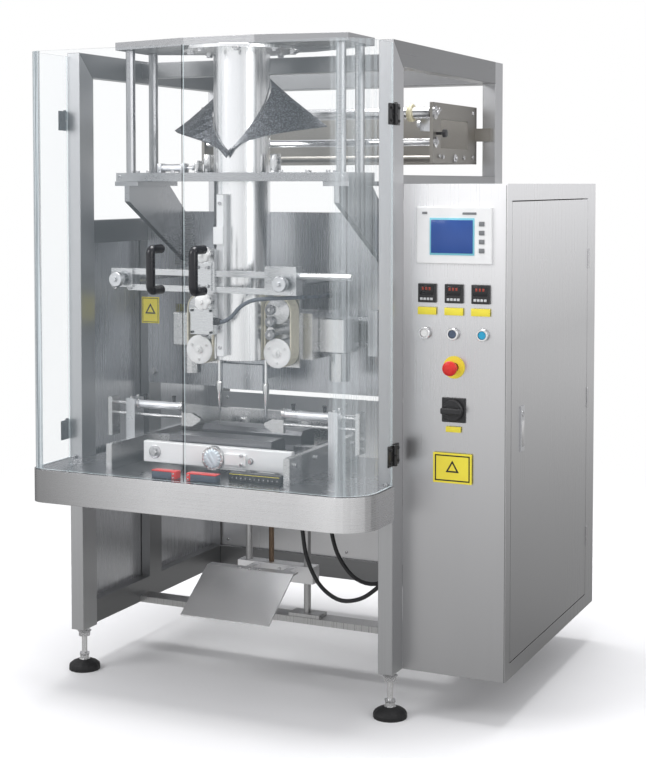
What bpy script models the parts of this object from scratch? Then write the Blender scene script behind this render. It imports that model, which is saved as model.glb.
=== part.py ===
"""Vertical form fill sealer: a packaging machine that makes, fills and seals bags from a film web.

X runs along the front, Y to the back and Z up, all in metres. The datum of the dimensions below is
the forming tube's centre line in X, the front faces of the front posts in Y and the floor in Z.
An empty shifts the whole machine so that the origin is the middle of its footprint, on the floor.
"""
from math import cos, pi, radians, sin, tau

import bmesh
import bpy
from mathutils import Matrix, Vector

# Clearances
GAP = 0.0003            # between pieces that touch
BORE_CLEARANCE = 0.0005  # between a rod and its bore

# Frame of welded rectangular tube
FRAME_HALF = 0.508      # outer faces of the posts, from the centre line
POST_WIDTH = 0.041
POST_DEPTH = 0.071
POST_BOTTOM = 0.124
POST_TOP = 1.805
TOP_BEAM_Y = (0.340, 0.380)
TOP_BEAM_Z = (1.752, 1.799)
FOOT_RADIUS = 0.046
TUBE_WALL = 0.003
RAIL_HEIGHT = 0.067
REAR_FACE = 0.900       # rear faces of the rear posts
MID_POST_FRONT = 0.371
REAR_PANEL_TOP = 0.725
BOTTOM_RAIL_Z = 0.131
LEFT_RAIL_Z = 1.255
RIGHT_RAIL_Z = 1.385
FRAME_INNER = FRAME_HALF - POST_WIDTH
REAR_POST_FRONT = REAR_FACE - POST_DEPTH
SHEET = 0.003

# Control cabinet
CABINET_RIGHT = 0.797
CABINET_FRONT = 0.071
CABINET_REAR = 0.941
CABINET_TOP = 1.429
DOOR_OPENING_Y = (0.110, 0.855)
DOOR_OPENING_Z = (0.165, 1.385)
DOOR_DEPTH = 0.017
DOOR_CLEARANCE = 0.003
LATCH_PROUD = 0.004

# Control panel: every item sits on the cabinet's front
PANEL_X = 0.653
SCREEN_SIZE = (0.210, 0.150)
SCREEN_Z = 1.294
CONTROLLER_X = (0.578, 0.653, 0.727)
CONTROLLER_Z = 1.141
CONTROLLER_SIZE = 0.050
BUTTONS = {"push_button_white": 0.572, "push_button_dark": 0.651, "push_button_blue": 0.733}
BUTTON_Z = 1.035
STOP_Z = 0.947
SWITCH_Z = 0.834
SWITCH_SIZE = 0.065

# Front table with its rounded apron
TABLE_HALF = 0.513
TABLE_FRONT = -0.200
TABLE_RADII = {-1: 0.045, 1: 0.100}
TABLE_Z = (0.540, 0.632)
TABLE_REAR = 0.360
DROP_HOLE = ((-0.190, 0.020), (0.190, 0.200))

# Guard doors of bent clear sheet
GUARD_INSET = 0.004
GUARD_THICK = 0.005
GUARD_Z = (0.634, 1.795)
GUARD_SPLIT_X = -0.0125
GUARD_GAP = 0.005
HINGE_X = 0.516
HINGE_Y = -0.003
HANDLE_MIDDLE_X = -0.0145
HANDLE_SPREAD = 0.0645
HANDLE_Z = (1.152, 1.252)
HANDLE_REACH = 0.050
HANDLE_RADIUS = 0.010

# Forming set
TUBE_Y = 0.115
TUBE_RADIUS = 0.080
TUBE_SHELL = 0.0025
TUBE_BOTTOM = 0.935
FLANGE_RADIUS = 0.165
FLANGE_THICK = 0.010
TOP_PLATE_Z = (1.810, 1.832)
MID_PLATE_Z = (1.436, 1.460)
PLATE_HALF = 0.365
COLUMN_RADIUS = 0.0135
COLUMN_X = 0.332
COLUMN_Y = (0.060, 0.185)
NECK_RADIUS = 0.0835
FINGER_X = 0.0745
FINGER_TIP = 0.737

# Back plate and its two brackets
BACK_PLATE_FRONT = 0.366
BACK_PLATE_THICK = 0.010
BACK_PLATE_Z = (0.812, 1.345)
BRACKET_X = 0.330
BRACKET_THICK = 0.016

# Belt pullers on both sides of the tube
BELT_X = 0.124
BELT_Y = (0.090, 0.140)
BELT_Z = (0.957, 1.075)
BELT_RADIUS = 0.042
BELT_THICK = 0.004
PULLEY_GAP = 0.0012
PULLEY_AXLE = 0.008
NIP_ROLLER_RADIUS = 0.014
NIP_ROLLER_Z = 1.016
UNIT_PLATE_X = (0.0855, 0.165)
UNIT_PLATE_Y = (0.145, 0.157)
UNIT_PLATE_Z = (0.912, 1.120)
HOUSING_X = (0.110, 0.200)
GEARBOX_X = (0.198, 0.280)
MOTOR_PLACE = (0.242, 0.250)
MOTOR_Z = (0.868, 0.952)
MOTOR_RADIUS = 0.030

# Vertical sealer and the arm that carries it
SEALER_ROD_Z = (1.106, 1.236)
SEALER_ROD_X = -0.031
SEALER_ROD_RADIUS = 0.006
ARM_LEFT_BLOCK = ((-0.350, -0.020, 1.137), (-0.280, 0.020, 1.190))
ARM_RIGHT_BLOCK = ((0.140, -0.020, 1.128), (0.235, 0.020, 1.205))
ARM_CENTRE_BLOCK = ((-0.078, -0.022, 1.133), (-0.024, 0.001, 1.211))
TERMINAL_BOX = ((-0.083, -0.035, 1.014), (-0.012, -0.006, 1.086))
ARM_BARS_Z = (1.128, 1.173)
ARM_BAR_HEIGHT = 0.017
ARM_SHAFT_X = (-0.315, 0.200)
ARM_SHAFT_Z = 1.160
ARM_SHAFT_RADIUS = 0.0125
ARM_COLLAR_RADIUS = 0.0180
ARM_STUD_RADIUS = 0.0070
SIDE_SHAFT = (0.225, 0.390, 1.180)   # start and end X, and height
SIDE_SHAFT_RADIUS = 0.0100
SEALER_BAR = ((-0.022, 0.004, 0.950), (0.000, 0.024, 1.400))
KNOB_RADIUS = 0.0175

# Slide rods of the belt units, on the back plate
SLIDE_ROD_Y = 0.330
SLIDE_ROD_Z = (0.965, 1.035)
SLIDE_ROD_RADIUS = 0.010

# Horizontal jaws
JAW_HALF = 0.160
JAW_Z = (0.672, 0.728)
JAW_FRONT_Y = (-0.020, 0.065)
JAW_REAR_Y = (0.165, 0.250)
JAW_BAR = ((-0.228, -0.050, 0.650), (0.236, -0.030, 0.709))
JAW_ROD_RADIUS = 0.008
FRONT_ROD_X = 0.195
FRONT_ROD_Z = 0.682
REAR_ROD_X = 0.100
REAR_ROD_Z = 0.712
SIDE_PLATE_TOP = 0.705
SIDE_PLATE_Y = (-0.120, 0.335)
SIDE_PLATES_X = ((-0.306, -0.288), (0.246, 0.264))
CROSS_PLATE_Y = (0.300, 0.318)
CROSS_PLATE_TOP = 0.760
ROD_BUSH = ((0.080, 0.112), (0.655, 0.703))   # ranges of Y and Z
ROD_BUSH_X = 0.178
REAR_BUSH_RADIUS = 0.021
CLOSER_Z = 0.680
CLOSER_REAR = 0.440
CLOSER_RADIUS = 0.024
CLOSER_ROD_RADIUS = 0.007
COVER_RADIUS = 0.0235
COVER_Z = 0.677

# Gusset blades beside the jaws
GUSSET_Y = 0.055
GUSSET_ROD_Z = 0.765
GUSSET_ROD_RADIUS = 0.005
CYLINDER_Z = 0.795
CYLINDER_RADIUS = 0.013
GUSSET_OUTER_X = (0.385, 0.398)
GUSSET_STAND_X = (0.3065, 0.335)
GUSSET_TOP = 0.812

# Bag chute under the table
BEAM_Y = (0.310, 0.370)
BEAM_Z = (0.132, 0.150)
CHUTE_ROD_X = 0.097
CHUTE_ROD_Y = 0.338
CHUTE_ROD_RADIUS = 0.0105
CHUTE_ROD_TOP = 0.620
CHUTE_SCREW_X = -0.022
CHUTE_SCREW_RADIUS = 0.008
CARRIAGE_Z = (0.250, 0.300)
CHUTE_HALF = 0.140
CHUTE_THICK = 0.004
CHUTE_TOP = (0.155, 0.320)
CHUTE_BOTTOM = (0.000, 0.212)

# Film web guides at the rear
RACK_RIGHT_X = (0.440, 0.450)
RACK_LEFT_X = (-0.315, -0.305)
TOP_ROLLER = (0.455, 1.635)
LOW_ROLLER = (0.458, 1.550)
RACK_Y = (0.441, 0.821)
RACK_Z = (1.489, 1.665)
RACK_COVER_Y = (0.8065, 0.8095)
RACK_WINDOW = ((0.504, 1.533), (0.740, 1.618))
TIE_ROD = (0.620, 1.505)
ROLLER_AXLE = 0.006
FILM_SHAFT = (0.660, 1.000)
DANCER_PIVOT = (0.780, 1.220)
DANCER_ROLLER = (0.580, 1.160)
CARRIER_X = (0.470, 0.490)
FILM_SHAFT_RADIUS = 0.015
DANCER_RADIUS = 0.010

# Hoses and conduit: routes are centre-line points
HOSE_DIAMETER = 0.012
CONDUIT_DIAMETER = 0.011
HOSE_FRONT_ROUTE = ((0.127, 0.235, 0.5447), (0.127, 0.235, 0.500), (0.131, 0.234, 0.430),
                    (0.148, 0.230, 0.350), (0.190, 0.224, 0.280), (0.255, 0.217, 0.245),
                    (0.325, 0.212, 0.258), (0.385, 0.209, 0.303), (0.435, 0.207, 0.352),
                    (0.474, 0.206, 0.372), (0.5070, 0.206, 0.374))
HOSE_REAR_ROUTE = ((0.214, 0.235, 0.5447), (0.214, 0.235, 0.510), (0.219, 0.236, 0.450),
                   (0.240, 0.240, 0.370), (0.285, 0.247, 0.309), (0.340, 0.254, 0.291),
                   (0.395, 0.259, 0.312), (0.440, 0.261, 0.350), (0.474, 0.262, 0.364),
                   (0.5070, 0.262, 0.366))
CONDUIT_ROUTE = ((-0.0114, -0.020, 1.050), (0.012, -0.020, 1.050), (0.038, -0.021, 1.064),
                 (0.064, -0.022, 1.091), (0.096, -0.021, 1.109), (0.132, -0.016, 1.116),
                 (0.172, 0.006, 1.118), (0.202, 0.050, 1.118), (0.212, 0.110, 1.116),
                 (0.208, 0.180, 1.112), (0.188, 0.245, 1.108), (0.166, 0.300, 1.105),
                 (0.160, 0.330, 1.104), (0.160, 0.3657, 1.104))
ROUTE_STEP = 2.5        # spacing of a route's points, in diameters

# The machine's footprint, whose middle is the origin
FOOTPRINT_X = (-(FRAME_HALF - POST_WIDTH / 2) - FOOT_RADIUS, CABINET_RIGHT + LATCH_PROUD)
FOOTPRINT_Y = (TABLE_FRONT + GUARD_INSET - HANDLE_REACH - HANDLE_RADIUS, CABINET_REAR)

# Colours: base colour, metallic, roughness
FINISHES = {
    "brushed_steel": ((0.62, 0.62, 0.61), 1.0, 0.32),
    "satin_plate": ((0.70, 0.70, 0.69), 1.0, 0.26),
    "chrome": ((0.80, 0.80, 0.80), 1.0, 0.08),
    "aluminium": ((0.78, 0.79, 0.80), 1.0, 0.30),
    "white_bar": ((0.86, 0.87, 0.88), 0.6, 0.30),
    "jaw_steel": ((0.28, 0.28, 0.29), 1.0, 0.38),
    "embossed_steel": ((0.30, 0.31, 0.33), 1.0, 0.42),
    "rack_steel": ((0.42, 0.40, 0.36), 1.0, 0.45),
    "clear_sheet": ((0.86, 0.93, 0.95), 0.0, 0.04),
    "belt_cream": ((0.83, 0.79, 0.66), 0.0, 0.60),
    "black_rubber": ((0.025, 0.025, 0.025), 0.0, 0.60),
    "black_plastic": ((0.030, 0.030, 0.032), 0.0, 0.35),
    "screen_bezel": ((0.86, 0.88, 0.89), 0.0, 0.35),
    "button_white": ((0.85, 0.85, 0.83), 0.0, 0.25),
    "button_dark": ((0.10, 0.13, 0.18), 0.0, 0.25),
    "button_blue": ((0.05, 0.45, 0.70), 0.0, 0.25),
    "stop_yellow": ((0.90, 0.72, 0.05), 0.0, 0.45),
    "stop_red": ((0.75, 0.04, 0.04), 0.0, 0.25),
    "conduit_grey": ((0.16, 0.18, 0.21), 0.0, 0.45),
}


def clear_scene():
    """Remove whatever the file opened with."""
    for obj in list(bpy.data.objects):
        bpy.data.objects.remove(obj, do_unlink=True)


def make_collection(name):
    """A new collection linked to the scene."""
    collection = bpy.data.collections.new(name)
    bpy.context.scene.collection.children.link(collection)
    return collection


def make_origin():
    """The empty that carries the machine, so that the footprint's middle is the world origin."""
    empty = bpy.data.objects.new("machine_datum", None)
    empty.location = (-sum(FOOTPRINT_X) / 2, -sum(FOOTPRINT_Y) / 2, 0.0)
    bpy.context.scene.collection.objects.link(empty)
    bpy.context.view_layer.update()
    return empty


def finish(key):
    """The Principled material of one finish, made once."""
    material = bpy.data.materials.get(key)
    if material is None:
        colour, metallic, roughness = FINISHES[key]
        material = bpy.data.materials.new(key)
        material.use_nodes = True
        shader = material.node_tree.nodes["Principled BSDF"]
        shader.inputs["Base Color"].default_value = (*colour, 1.0)
        shader.inputs["Metallic"].default_value = metallic
        shader.inputs["Roughness"].default_value = roughness
    return material


def add_object(name, data, finish_key, pivot=(0.0, 0.0, 0.0)):
    """Place mesh or curve data, given in machine coordinates, with its origin at the pivot."""
    data.transform(Matrix.Translation(-Vector(pivot)))
    data.materials.clear()
    data.materials.append(finish(finish_key))
    obj = bpy.data.objects.new(name, data)
    obj.parent = DATUM
    obj.location = pivot
    PARTS.objects.link(obj)
    return obj


def add_cutter(name, data):
    """A hidden helper solid for a Boolean modifier."""
    obj = bpy.data.objects.new(name, data)
    obj.parent = DATUM
    obj.hide_render = True
    obj.display_type = "WIRE"
    CUTTERS.objects.link(obj)
    return obj


def combine(obj, operation, *solids):
    """Add one exact Boolean modifier for each helper solid."""
    for index, mesh in enumerate(solids):
        label = f"{obj.name}_{operation.lower()}_{index}"
        modifier = obj.modifiers.new(label, "BOOLEAN")
        modifier.operation = operation
        modifier.solver = "EXACT"
        modifier.object = add_cutter(f"{label}_{len(obj.modifiers)}", mesh)
    return obj


def join(obj, *solids):
    """Weld more solids to a piece."""
    return combine(obj, "UNION", *solids)


def cut(obj, *solids):
    """Remove solids from a piece."""
    return combine(obj, "DIFFERENCE", *solids)


def smooth(obj, angle=30.0):
    """Shade a round piece smooth, with its edges kept sharp."""
    obj.data.shade_smooth()
    obj.data.set_sharp_from_angle(angle=radians(angle))
    return obj


def mesh_from(bm, name):
    """Store a bmesh as mesh data."""
    bmesh.ops.recalc_face_normals(bm, faces=bm.faces)
    mesh = bpy.data.meshes.new(name)
    bm.to_mesh(mesh)
    bm.free()
    return mesh


def box(low, high):
    """A box between two corners."""
    low, high = Vector(low), Vector(high)
    bm = bmesh.new()
    bmesh.ops.create_cube(bm, size=1.0)
    bmesh.ops.scale(bm, vec=high - low, verts=bm.verts)
    bmesh.ops.translate(bm, vec=(low + high) / 2, verts=bm.verts)
    return mesh_from(bm, "box")


def soft_box(low, high, radius, segments=2):
    """A box with rounded edges."""
    low, high = Vector(low), Vector(high)
    bm = bmesh.new()
    bmesh.ops.create_cube(bm, size=1.0)
    bmesh.ops.scale(bm, vec=high - low, verts=bm.verts)
    bmesh.ops.translate(bm, vec=(low + high) / 2, verts=bm.verts)
    bmesh.ops.bevel(bm, geom=bm.edges[:], offset=radius, segments=segments, affect="EDGES", profile=0.5)
    return mesh_from(bm, "soft_box")


def rod(start, end, radius, segments=12):
    """A straight round bar between two points."""
    start, end = Vector(start), Vector(end)
    axis = end - start
    bm = bmesh.new()
    bmesh.ops.create_cone(bm, cap_ends=True, segments=segments, radius1=radius, radius2=radius,
                          depth=axis.length)
    turn = axis.to_track_quat("Z", "Y").to_matrix().to_4x4()
    bmesh.ops.transform(bm, matrix=Matrix.Translation((start + end) / 2) @ turn, verts=bm.verts)
    return mesh_from(bm, "rod")


def prism(points, plane, low, high):
    """A flat outline extruded at right angles to its plane, which is XY, YZ or XZ."""
    bm = bmesh.new()
    place = {"XY": lambda a, b, c: (a, b, c), "YZ": lambda a, b, c: (c, a, b),
             "XZ": lambda a, b, c: (a, c, b)}[plane]
    face = bm.faces.new([bm.verts.new(place(a, b, low)) for a, b in points])
    shift = Vector(place(0.0, 0.0, high - low))
    side = bmesh.ops.extrude_face_region(bm, geom=[face])
    moved = [item for item in side["geom"] if isinstance(item, bmesh.types.BMVert)]
    bmesh.ops.translate(bm, vec=shift, verts=moved)
    bmesh.ops.recalc_face_normals(bm, faces=bm.faces)
    return mesh_from(bm, "prism")


def turned(name, profile, centre, direction, finish_key, steps=16):
    """A turned piece: a closed (radius, height) outline swept about an axis through centre."""
    mesh = bpy.data.meshes.new(name)
    bm = bmesh.new()
    corners = [bm.verts.new((radius, 0.0, height)) for radius, height in profile]
    for first, second in zip(corners, corners[1:]):
        bm.edges.new((first, second))
    bore = min(radius for radius, _ in profile) > 0.0
    if bore:
        bm.edges.new((corners[-1], corners[0]))
    bm.to_mesh(mesh)
    bm.free()
    mesh.materials.append(finish(finish_key))
    obj = bpy.data.objects.new(name, mesh)
    screw = obj.modifiers.new("turn", "SCREW")
    screw.steps = steps
    screw.render_steps = steps
    screw.use_merge_vertices = True
    screw.merge_threshold = 0.00001
    screw.use_smooth_shade = False
    obj.parent = DATUM
    obj.location = centre
    obj.rotation_mode = "QUATERNION"
    obj.rotation_quaternion = Vector(direction).to_track_quat("Z", "Y")
    PARTS.objects.link(obj)
    return obj


def ring_mesh(profile, centre, direction, steps=16):
    """A turned solid as mesh data: a closed (radius, height) outline swept about an axis."""
    bm = bmesh.new()
    loops = []
    for step in range(steps):
        angle = tau * step / steps
        loops.append([bm.verts.new((radius * cos(angle), radius * sin(angle), height))
                      if radius > 0.0 else None for radius, height in profile])
    poles = {index: bm.verts.new((0.0, 0.0, height))
             for index, (radius, height) in enumerate(profile) if radius == 0.0}
    count = len(profile)
    closed = not poles
    for step in range(steps):
        here, there = loops[step], loops[(step + 1) % steps]
        for index in range(count if closed else count - 1):
            after = (index + 1) % count
            corners = [here[index] or poles[index], there[index] or poles[index],
                       there[after] or poles[after], here[after] or poles[after]]
            unique = list(dict.fromkeys(corners))
            if len(unique) > 2:
                bm.faces.new(unique)
    turn = Vector(direction).to_track_quat("Z", "Y").to_matrix().to_4x4()
    bmesh.ops.transform(bm, matrix=Matrix.Translation(Vector(centre)) @ turn, verts=bm.verts)
    return mesh_from(bm, "ring")


def arc(centre, radius, start, end, steps):
    """Points along an arc, angles in degrees."""
    angles = [radians(start + (end - start) * step / steps) for step in range(steps + 1)]
    return [(centre[0] + radius * cos(angle), centre[1] + radius * sin(angle)) for angle in angles]


def smooth_route(points, step):
    """Points at about equal spacing along a Catmull-Rom curve through the given ones."""
    knots = [Vector(point) for point in points]
    padded = [2 * knots[0] - knots[1], *knots, 2 * knots[-1] - knots[-2]]
    fine = []
    for a, b, c, d in zip(padded, padded[1:], padded[2:], padded[3:]):
        for index in range(12):
            t = index / 12
            fine.append(0.5 * (2 * b + (c - a) * t + (2 * a - 5 * b + 4 * c - d) * t * t
                               + (3 * b - a - 3 * c + d) * t ** 3))
    fine.append(knots[-1])
    distances = [0.0]
    for first, second in zip(fine, fine[1:]):
        distances.append(distances[-1] + (second - first).length)
    count = round(distances[-1] / step)
    route = []
    for index in range(count + 1):
        target = distances[-1] * index / count
        place = max(i for i, distance in enumerate(distances[:-1]) if distance <= target + 1e-9)
        span = distances[place + 1] - distances[place]
        route.append(fine[place].lerp(fine[place + 1], min(1.0, (target - distances[place]) / span)))
    return route


def hose(name, points, diameter, finish_key):
    """A round hose along a smooth curve through the points."""
    curve = bpy.data.curves.new(name, "CURVE")
    curve.dimensions = "3D"
    route = smooth_route(points, ROUTE_STEP * diameter)
    spline = curve.splines.new("POLY")
    spline.points.add(len(route) - 1)
    for point, place in zip(spline.points, route):
        point.co = (*place, 1.0)
    curve.bevel_depth = diameter / 2
    curve.bevel_resolution = 2
    curve.use_fill_caps = True
    return add_object(name, curve, finish_key)


def span(side, inner, outer):
    """Two distances from the centre line as low and high X, on the left or the right side."""
    return sorted((side * inner, side * outer))


def hollow(low, high, grow=(0.0, 0.0, 0.0), grow_low=(0.0, 0.0, 0.0)):
    """The inside of a tube, with chosen ends carried on into the next tube or out of it."""
    wall = Vector((TUBE_WALL,) * 3)
    return box(Vector(low) + wall - Vector(grow_low), Vector(high) - wall + Vector(grow))


def make_left_side_frame():
    """Front post, rear bay post, three rails of the left side and the cross beam at the top."""
    x_out, x_in = -FRAME_HALF, -FRAME_INNER
    rail_end = REAR_POST_FRONT - GAP
    post = ((x_out, 0.0, POST_BOTTOM), (x_in, POST_DEPTH, POST_TOP))
    frame = add_object("left_side_frame", box(*post), "brushed_steel")
    rail_levels = (BOTTOM_RAIL_Z, LEFT_RAIL_Z, POST_TOP - RAIL_HEIGHT)
    rails = [((x_out, POST_DEPTH - 0.010, z), (x_in, rail_end, z + RAIL_HEIGHT)) for z in rail_levels]
    rails[-1] = (rails[-1][0], (x_in, rail_end, POST_TOP))
    bay_x = x_out + 0.011
    bay = ((bay_x, MID_POST_FRONT, BOTTOM_RAIL_Z + 0.020),
           (x_in, MID_POST_FRONT + POST_DEPTH, LEFT_RAIL_Z + 0.020))
    beam = ((x_in - 0.010, TOP_BEAM_Y[0], TOP_BEAM_Z[0]),
            (FRAME_INNER - GAP, TOP_BEAM_Y[1], TOP_BEAM_Z[1]))
    join(frame, *[box(*rail) for rail in rails], box(*bay), box(*beam))
    cut(frame, hollow(*post))
    ends = (0.0, 0.020, 0.0)
    cut(frame, *[hollow(*rail, grow=ends, grow_low=ends) for rail in rails])
    cut(frame, hollow(*bay, grow=(0, 0, 0.02)))
    cut(frame, hollow(*beam, grow=(0.02, 0, 0), grow_low=(0.02, 0, 0)))
    cut(frame, foot_hole(-1, POST_DEPTH / 2))
    return frame


def make_right_side_frame():
    """Front post and two rails of the right side, which the cabinet closes below."""
    x_in, x_out = FRAME_INNER, FRAME_HALF
    rail_end = REAR_POST_FRONT - GAP
    post = ((x_in, 0.0, POST_BOTTOM), (x_out, POST_DEPTH, POST_TOP))
    frame = add_object("right_side_frame", box(*post), "brushed_steel")
    rails = [((x_in, POST_DEPTH - 0.010, z), (x_out, rail_end, min(z + RAIL_HEIGHT, POST_TOP)))
             for z in (RIGHT_RAIL_Z, POST_TOP - RAIL_HEIGHT)]
    join(frame, *[box(*rail) for rail in rails])
    cut(frame, hollow(*post))
    ends = (0.0, 0.020, 0.0)
    cut(frame, *[hollow(*rail, grow=ends, grow_low=ends) for rail in rails])
    cut(frame, foot_hole(1, POST_DEPTH / 2))
    return frame


def make_rear_frame():
    """Two rear posts, the top and bottom rails between them and the film shaft's carriers."""
    posts = [((side_low, REAR_POST_FRONT, POST_BOTTOM), (side_high, REAR_FACE, POST_TOP))
             for side_low, side_high in ((-FRAME_HALF, -FRAME_INNER), (FRAME_INNER, FRAME_HALF))]
    rails = [((-FRAME_INNER - 0.010, REAR_POST_FRONT, z),
              (FRAME_INNER + 0.010, REAR_FACE, min(z + RAIL_HEIGHT, POST_TOP)))
             for z in (BOTTOM_RAIL_Z, POST_TOP - RAIL_HEIGHT)]
    frame = add_object("rear_frame", box(*posts[0]), "brushed_steel")
    join(frame, box(*posts[1]), *[box(*rail) for rail in rails])
    cut(frame, *[hollow(*post) for post in posts])
    ends = (0.020, 0.0, 0.0)
    cut(frame, *[hollow(*rail, grow=ends, grow_low=ends) for rail in rails])
    cut(frame, foot_hole(-1, REAR_FACE - POST_DEPTH / 2), foot_hole(1, REAR_FACE - POST_DEPTH / 2))
    for (y, z), radius in ((FILM_SHAFT, FILM_SHAFT_RADIUS), (DANCER_PIVOT, DANCER_RADIUS)):
        bore = radius + BORE_CLEARANCE
        for side in (-1, 1):
            low, high = span(side, *CARRIER_X)
            join(frame, box((low, y - 0.022, z - 0.022), (high, REAR_POST_FRONT + 0.0015, z + 0.022)))
            cut(frame, rod((low - 0.01, y, z), (high + 0.01, y, z), bore, 16))
    return frame


def foot_hole(side, y):
    """The hole in a post's end for a foot's stem."""
    x = side * (FRAME_HALF - POST_WIDTH / 2)
    return rod((x, y, POST_BOTTOM - 0.01), (x, y, POST_BOTTOM + 0.01), 0.009)


def make_feet():
    """Four levelling feet: rubber base, ball cup, threaded stem and lock nut."""
    profile = [(0.0, 0.150), (0.008, 0.150), (0.008, 0.112), (0.0145, 0.112), (0.0145, 0.098),
               (0.008, 0.098), (0.008, 0.044), (0.013, 0.042), (0.013, 0.032), (0.020, 0.029),
               (0.036, 0.022), (FOOT_RADIUS - 0.002, 0.016), (FOOT_RADIUS, 0.010),
               (FOOT_RADIUS, 0.0), (0.0, 0.0)]
    for side, x_name in ((-1, "left"), (1, "right")):
        for y, y_name in ((POST_DEPTH / 2, "front"), (REAR_FACE - POST_DEPTH / 2, "rear")):
            x = side * (FRAME_HALF - POST_WIDTH / 2)
            turned(f"levelling_foot_{y_name}_{x_name}", profile, (x, y, 0.0), (0, 0, 1), "black_rubber")


def make_panels():
    """Flat covers at the left side and the rear."""
    low = (-FRAME_HALF + 0.0065, POST_DEPTH + GAP, BOTTOM_RAIL_Z + RAIL_HEIGHT + GAP)
    high = (-FRAME_HALF + 0.0095, REAR_POST_FRONT - GAP, LEFT_RAIL_Z - GAP)
    add_object("left_side_panel", box(low, high), "brushed_steel")
    rear_low = (-FRAME_INNER + GAP, REAR_POST_FRONT + 0.010, BOTTOM_RAIL_Z + RAIL_HEIGHT + GAP)
    rear_high = (FRAME_INNER - GAP, REAR_POST_FRONT + 0.010 + SHEET, REAR_PANEL_TOP)
    add_object("rear_lower_panel", box(rear_low, rear_high), "satin_plate")


def make_cabinet():
    """Sheet cabinet with a mitred door frame on its right side, and three button bezels."""
    low = (FRAME_HALF + GAP, CABINET_FRONT, POST_BOTTOM)
    high = (CABINET_RIGHT, CABINET_REAR, CABINET_TOP)
    cabinet = add_object("control_cabinet", box(low, high), "brushed_steel")
    wall = Vector((SHEET,) * 3)
    cut(cabinet, box(Vector(low) + wall, Vector(high) - Vector((DOOR_DEPTH + 0.004, SHEET, SHEET))))
    opening_low = (CABINET_RIGHT - 0.05, DOOR_OPENING_Y[0], DOOR_OPENING_Z[0])
    opening_high = (CABINET_RIGHT + 0.01, DOOR_OPENING_Y[1], DOOR_OPENING_Z[1])
    cut(cabinet, box(opening_low, opening_high))
    for x in BUTTONS.values():
        bezel = [(0.015, -0.0010), (0.015, 0.0040), (0.0125, 0.0055), (0.0118, 0.0055), (0.0118, -0.0010)]
        join(cabinet, ring_mesh(bezel[::-1], (x, CABINET_FRONT, BUTTON_Z), (0, -1, 0)))
    return cabinet


def make_cabinet_door():
    """A pan-shaped door hinged at its rear edge, and the lever latch near its front edge."""
    low = Vector((CABINET_RIGHT - DOOR_DEPTH, DOOR_OPENING_Y[0] + DOOR_CLEARANCE,
                  DOOR_OPENING_Z[0] + DOOR_CLEARANCE))
    high = Vector((CABINET_RIGHT, DOOR_OPENING_Y[1] - DOOR_CLEARANCE, DOOR_OPENING_Z[1] - DOOR_CLEARANCE))
    hinge = (CABINET_RIGHT, DOOR_OPENING_Y[1] - DOOR_CLEARANCE / 2, POST_BOTTOM)
    door = add_object("cabinet_door", box(low, high), "brushed_steel", hinge)
    wall = Vector((0.0, SHEET, SHEET))
    cut(door, box(low + wall - Vector((0.01, 0, 0)), high - wall - Vector((SHEET, 0, 0))))
    latch_low = (CABINET_RIGHT + GAP, 0.188, 0.715)
    latch_high = (CABINET_RIGHT + LATCH_PROUD, 0.218, 0.837)
    pivot = (CABINET_RIGHT + GAP, 0.203, 0.837)
    add_object("cabinet_door_latch", box(latch_low, latch_high), "aluminium", pivot)


def make_control_panel():
    """Touch screen, temperature controllers, buttons, stop button and main switch."""
    front = CABINET_FRONT - GAP
    half_x, half_z = SCREEN_SIZE[0] / 2, SCREEN_SIZE[1] / 2
    screen = soft_box((PANEL_X - half_x, front - 0.009, SCREEN_Z - half_z),
                      (PANEL_X + half_x, front, SCREEN_Z + half_z), 0.003)
    add_object("touch_screen", screen, "screen_bezel")
    half = CONTROLLER_SIZE / 2
    for number, x in enumerate(CONTROLLER_X, start=1):
        body = soft_box((x - half, front - 0.008, CONTROLLER_Z - half),
                        (x + half, front, CONTROLLER_Z + half), 0.0015)
        add_object(f"temperature_controller_{number}", body, "black_plastic")
    cap = [(0.0, 0.0115), (0.0095, 0.0115), (0.0108, 0.0105), (0.0108, 0.0045), (0.0, 0.0045)]
    for name, x in BUTTONS.items():
        turned(name, cap, (x, CABINET_FRONT, BUTTON_Z), (0, -1, 0), name.replace("push_", ""))
    plate = [(0.030, 0.0025), (0.030, GAP), (0.0130, GAP), (0.0130, 0.0025)]
    turned("emergency_stop_plate", plate, (PANEL_X, CABINET_FRONT, STOP_Z), (0, -1, 0), "stop_yellow", 24)
    mushroom = [(0.0, 0.046), (0.012, 0.0445), (0.0185, 0.041), (0.020, 0.036), (0.0195, 0.031),
                (0.014, 0.029), (0.0115, 0.026), (0.0115, 0.0065), (0.0, 0.0065)]
    turned("emergency_stop_button", mushroom, (PANEL_X, CABINET_FRONT, STOP_Z), (0, -1, 0), "stop_red", 20)
    half = SWITCH_SIZE / 2
    square = soft_box((PANEL_X - half, front - 0.006, SWITCH_Z - half),
                      (PANEL_X + half, front, SWITCH_Z + half), 0.002)
    add_object("main_switch_plate", square, "black_plastic")
    disc = [(0.0, 0.018), (0.026, 0.018), (0.029, 0.0155), (0.029, 0.0066), (0.0, 0.0066)]
    knob = add_object("main_switch_knob", ring_mesh(disc, (PANEL_X, CABINET_FRONT, SWITCH_Z), (0, -1, 0)),
                      "black_plastic", (PANEL_X, CABINET_FRONT, SWITCH_Z))
    join(knob, soft_box((PANEL_X - 0.027, CABINET_FRONT - 0.034, SWITCH_Z - 0.008),
                        (PANEL_X + 0.027, CABINET_FRONT - 0.014, SWITCH_Z + 0.008), 0.003))


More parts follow.
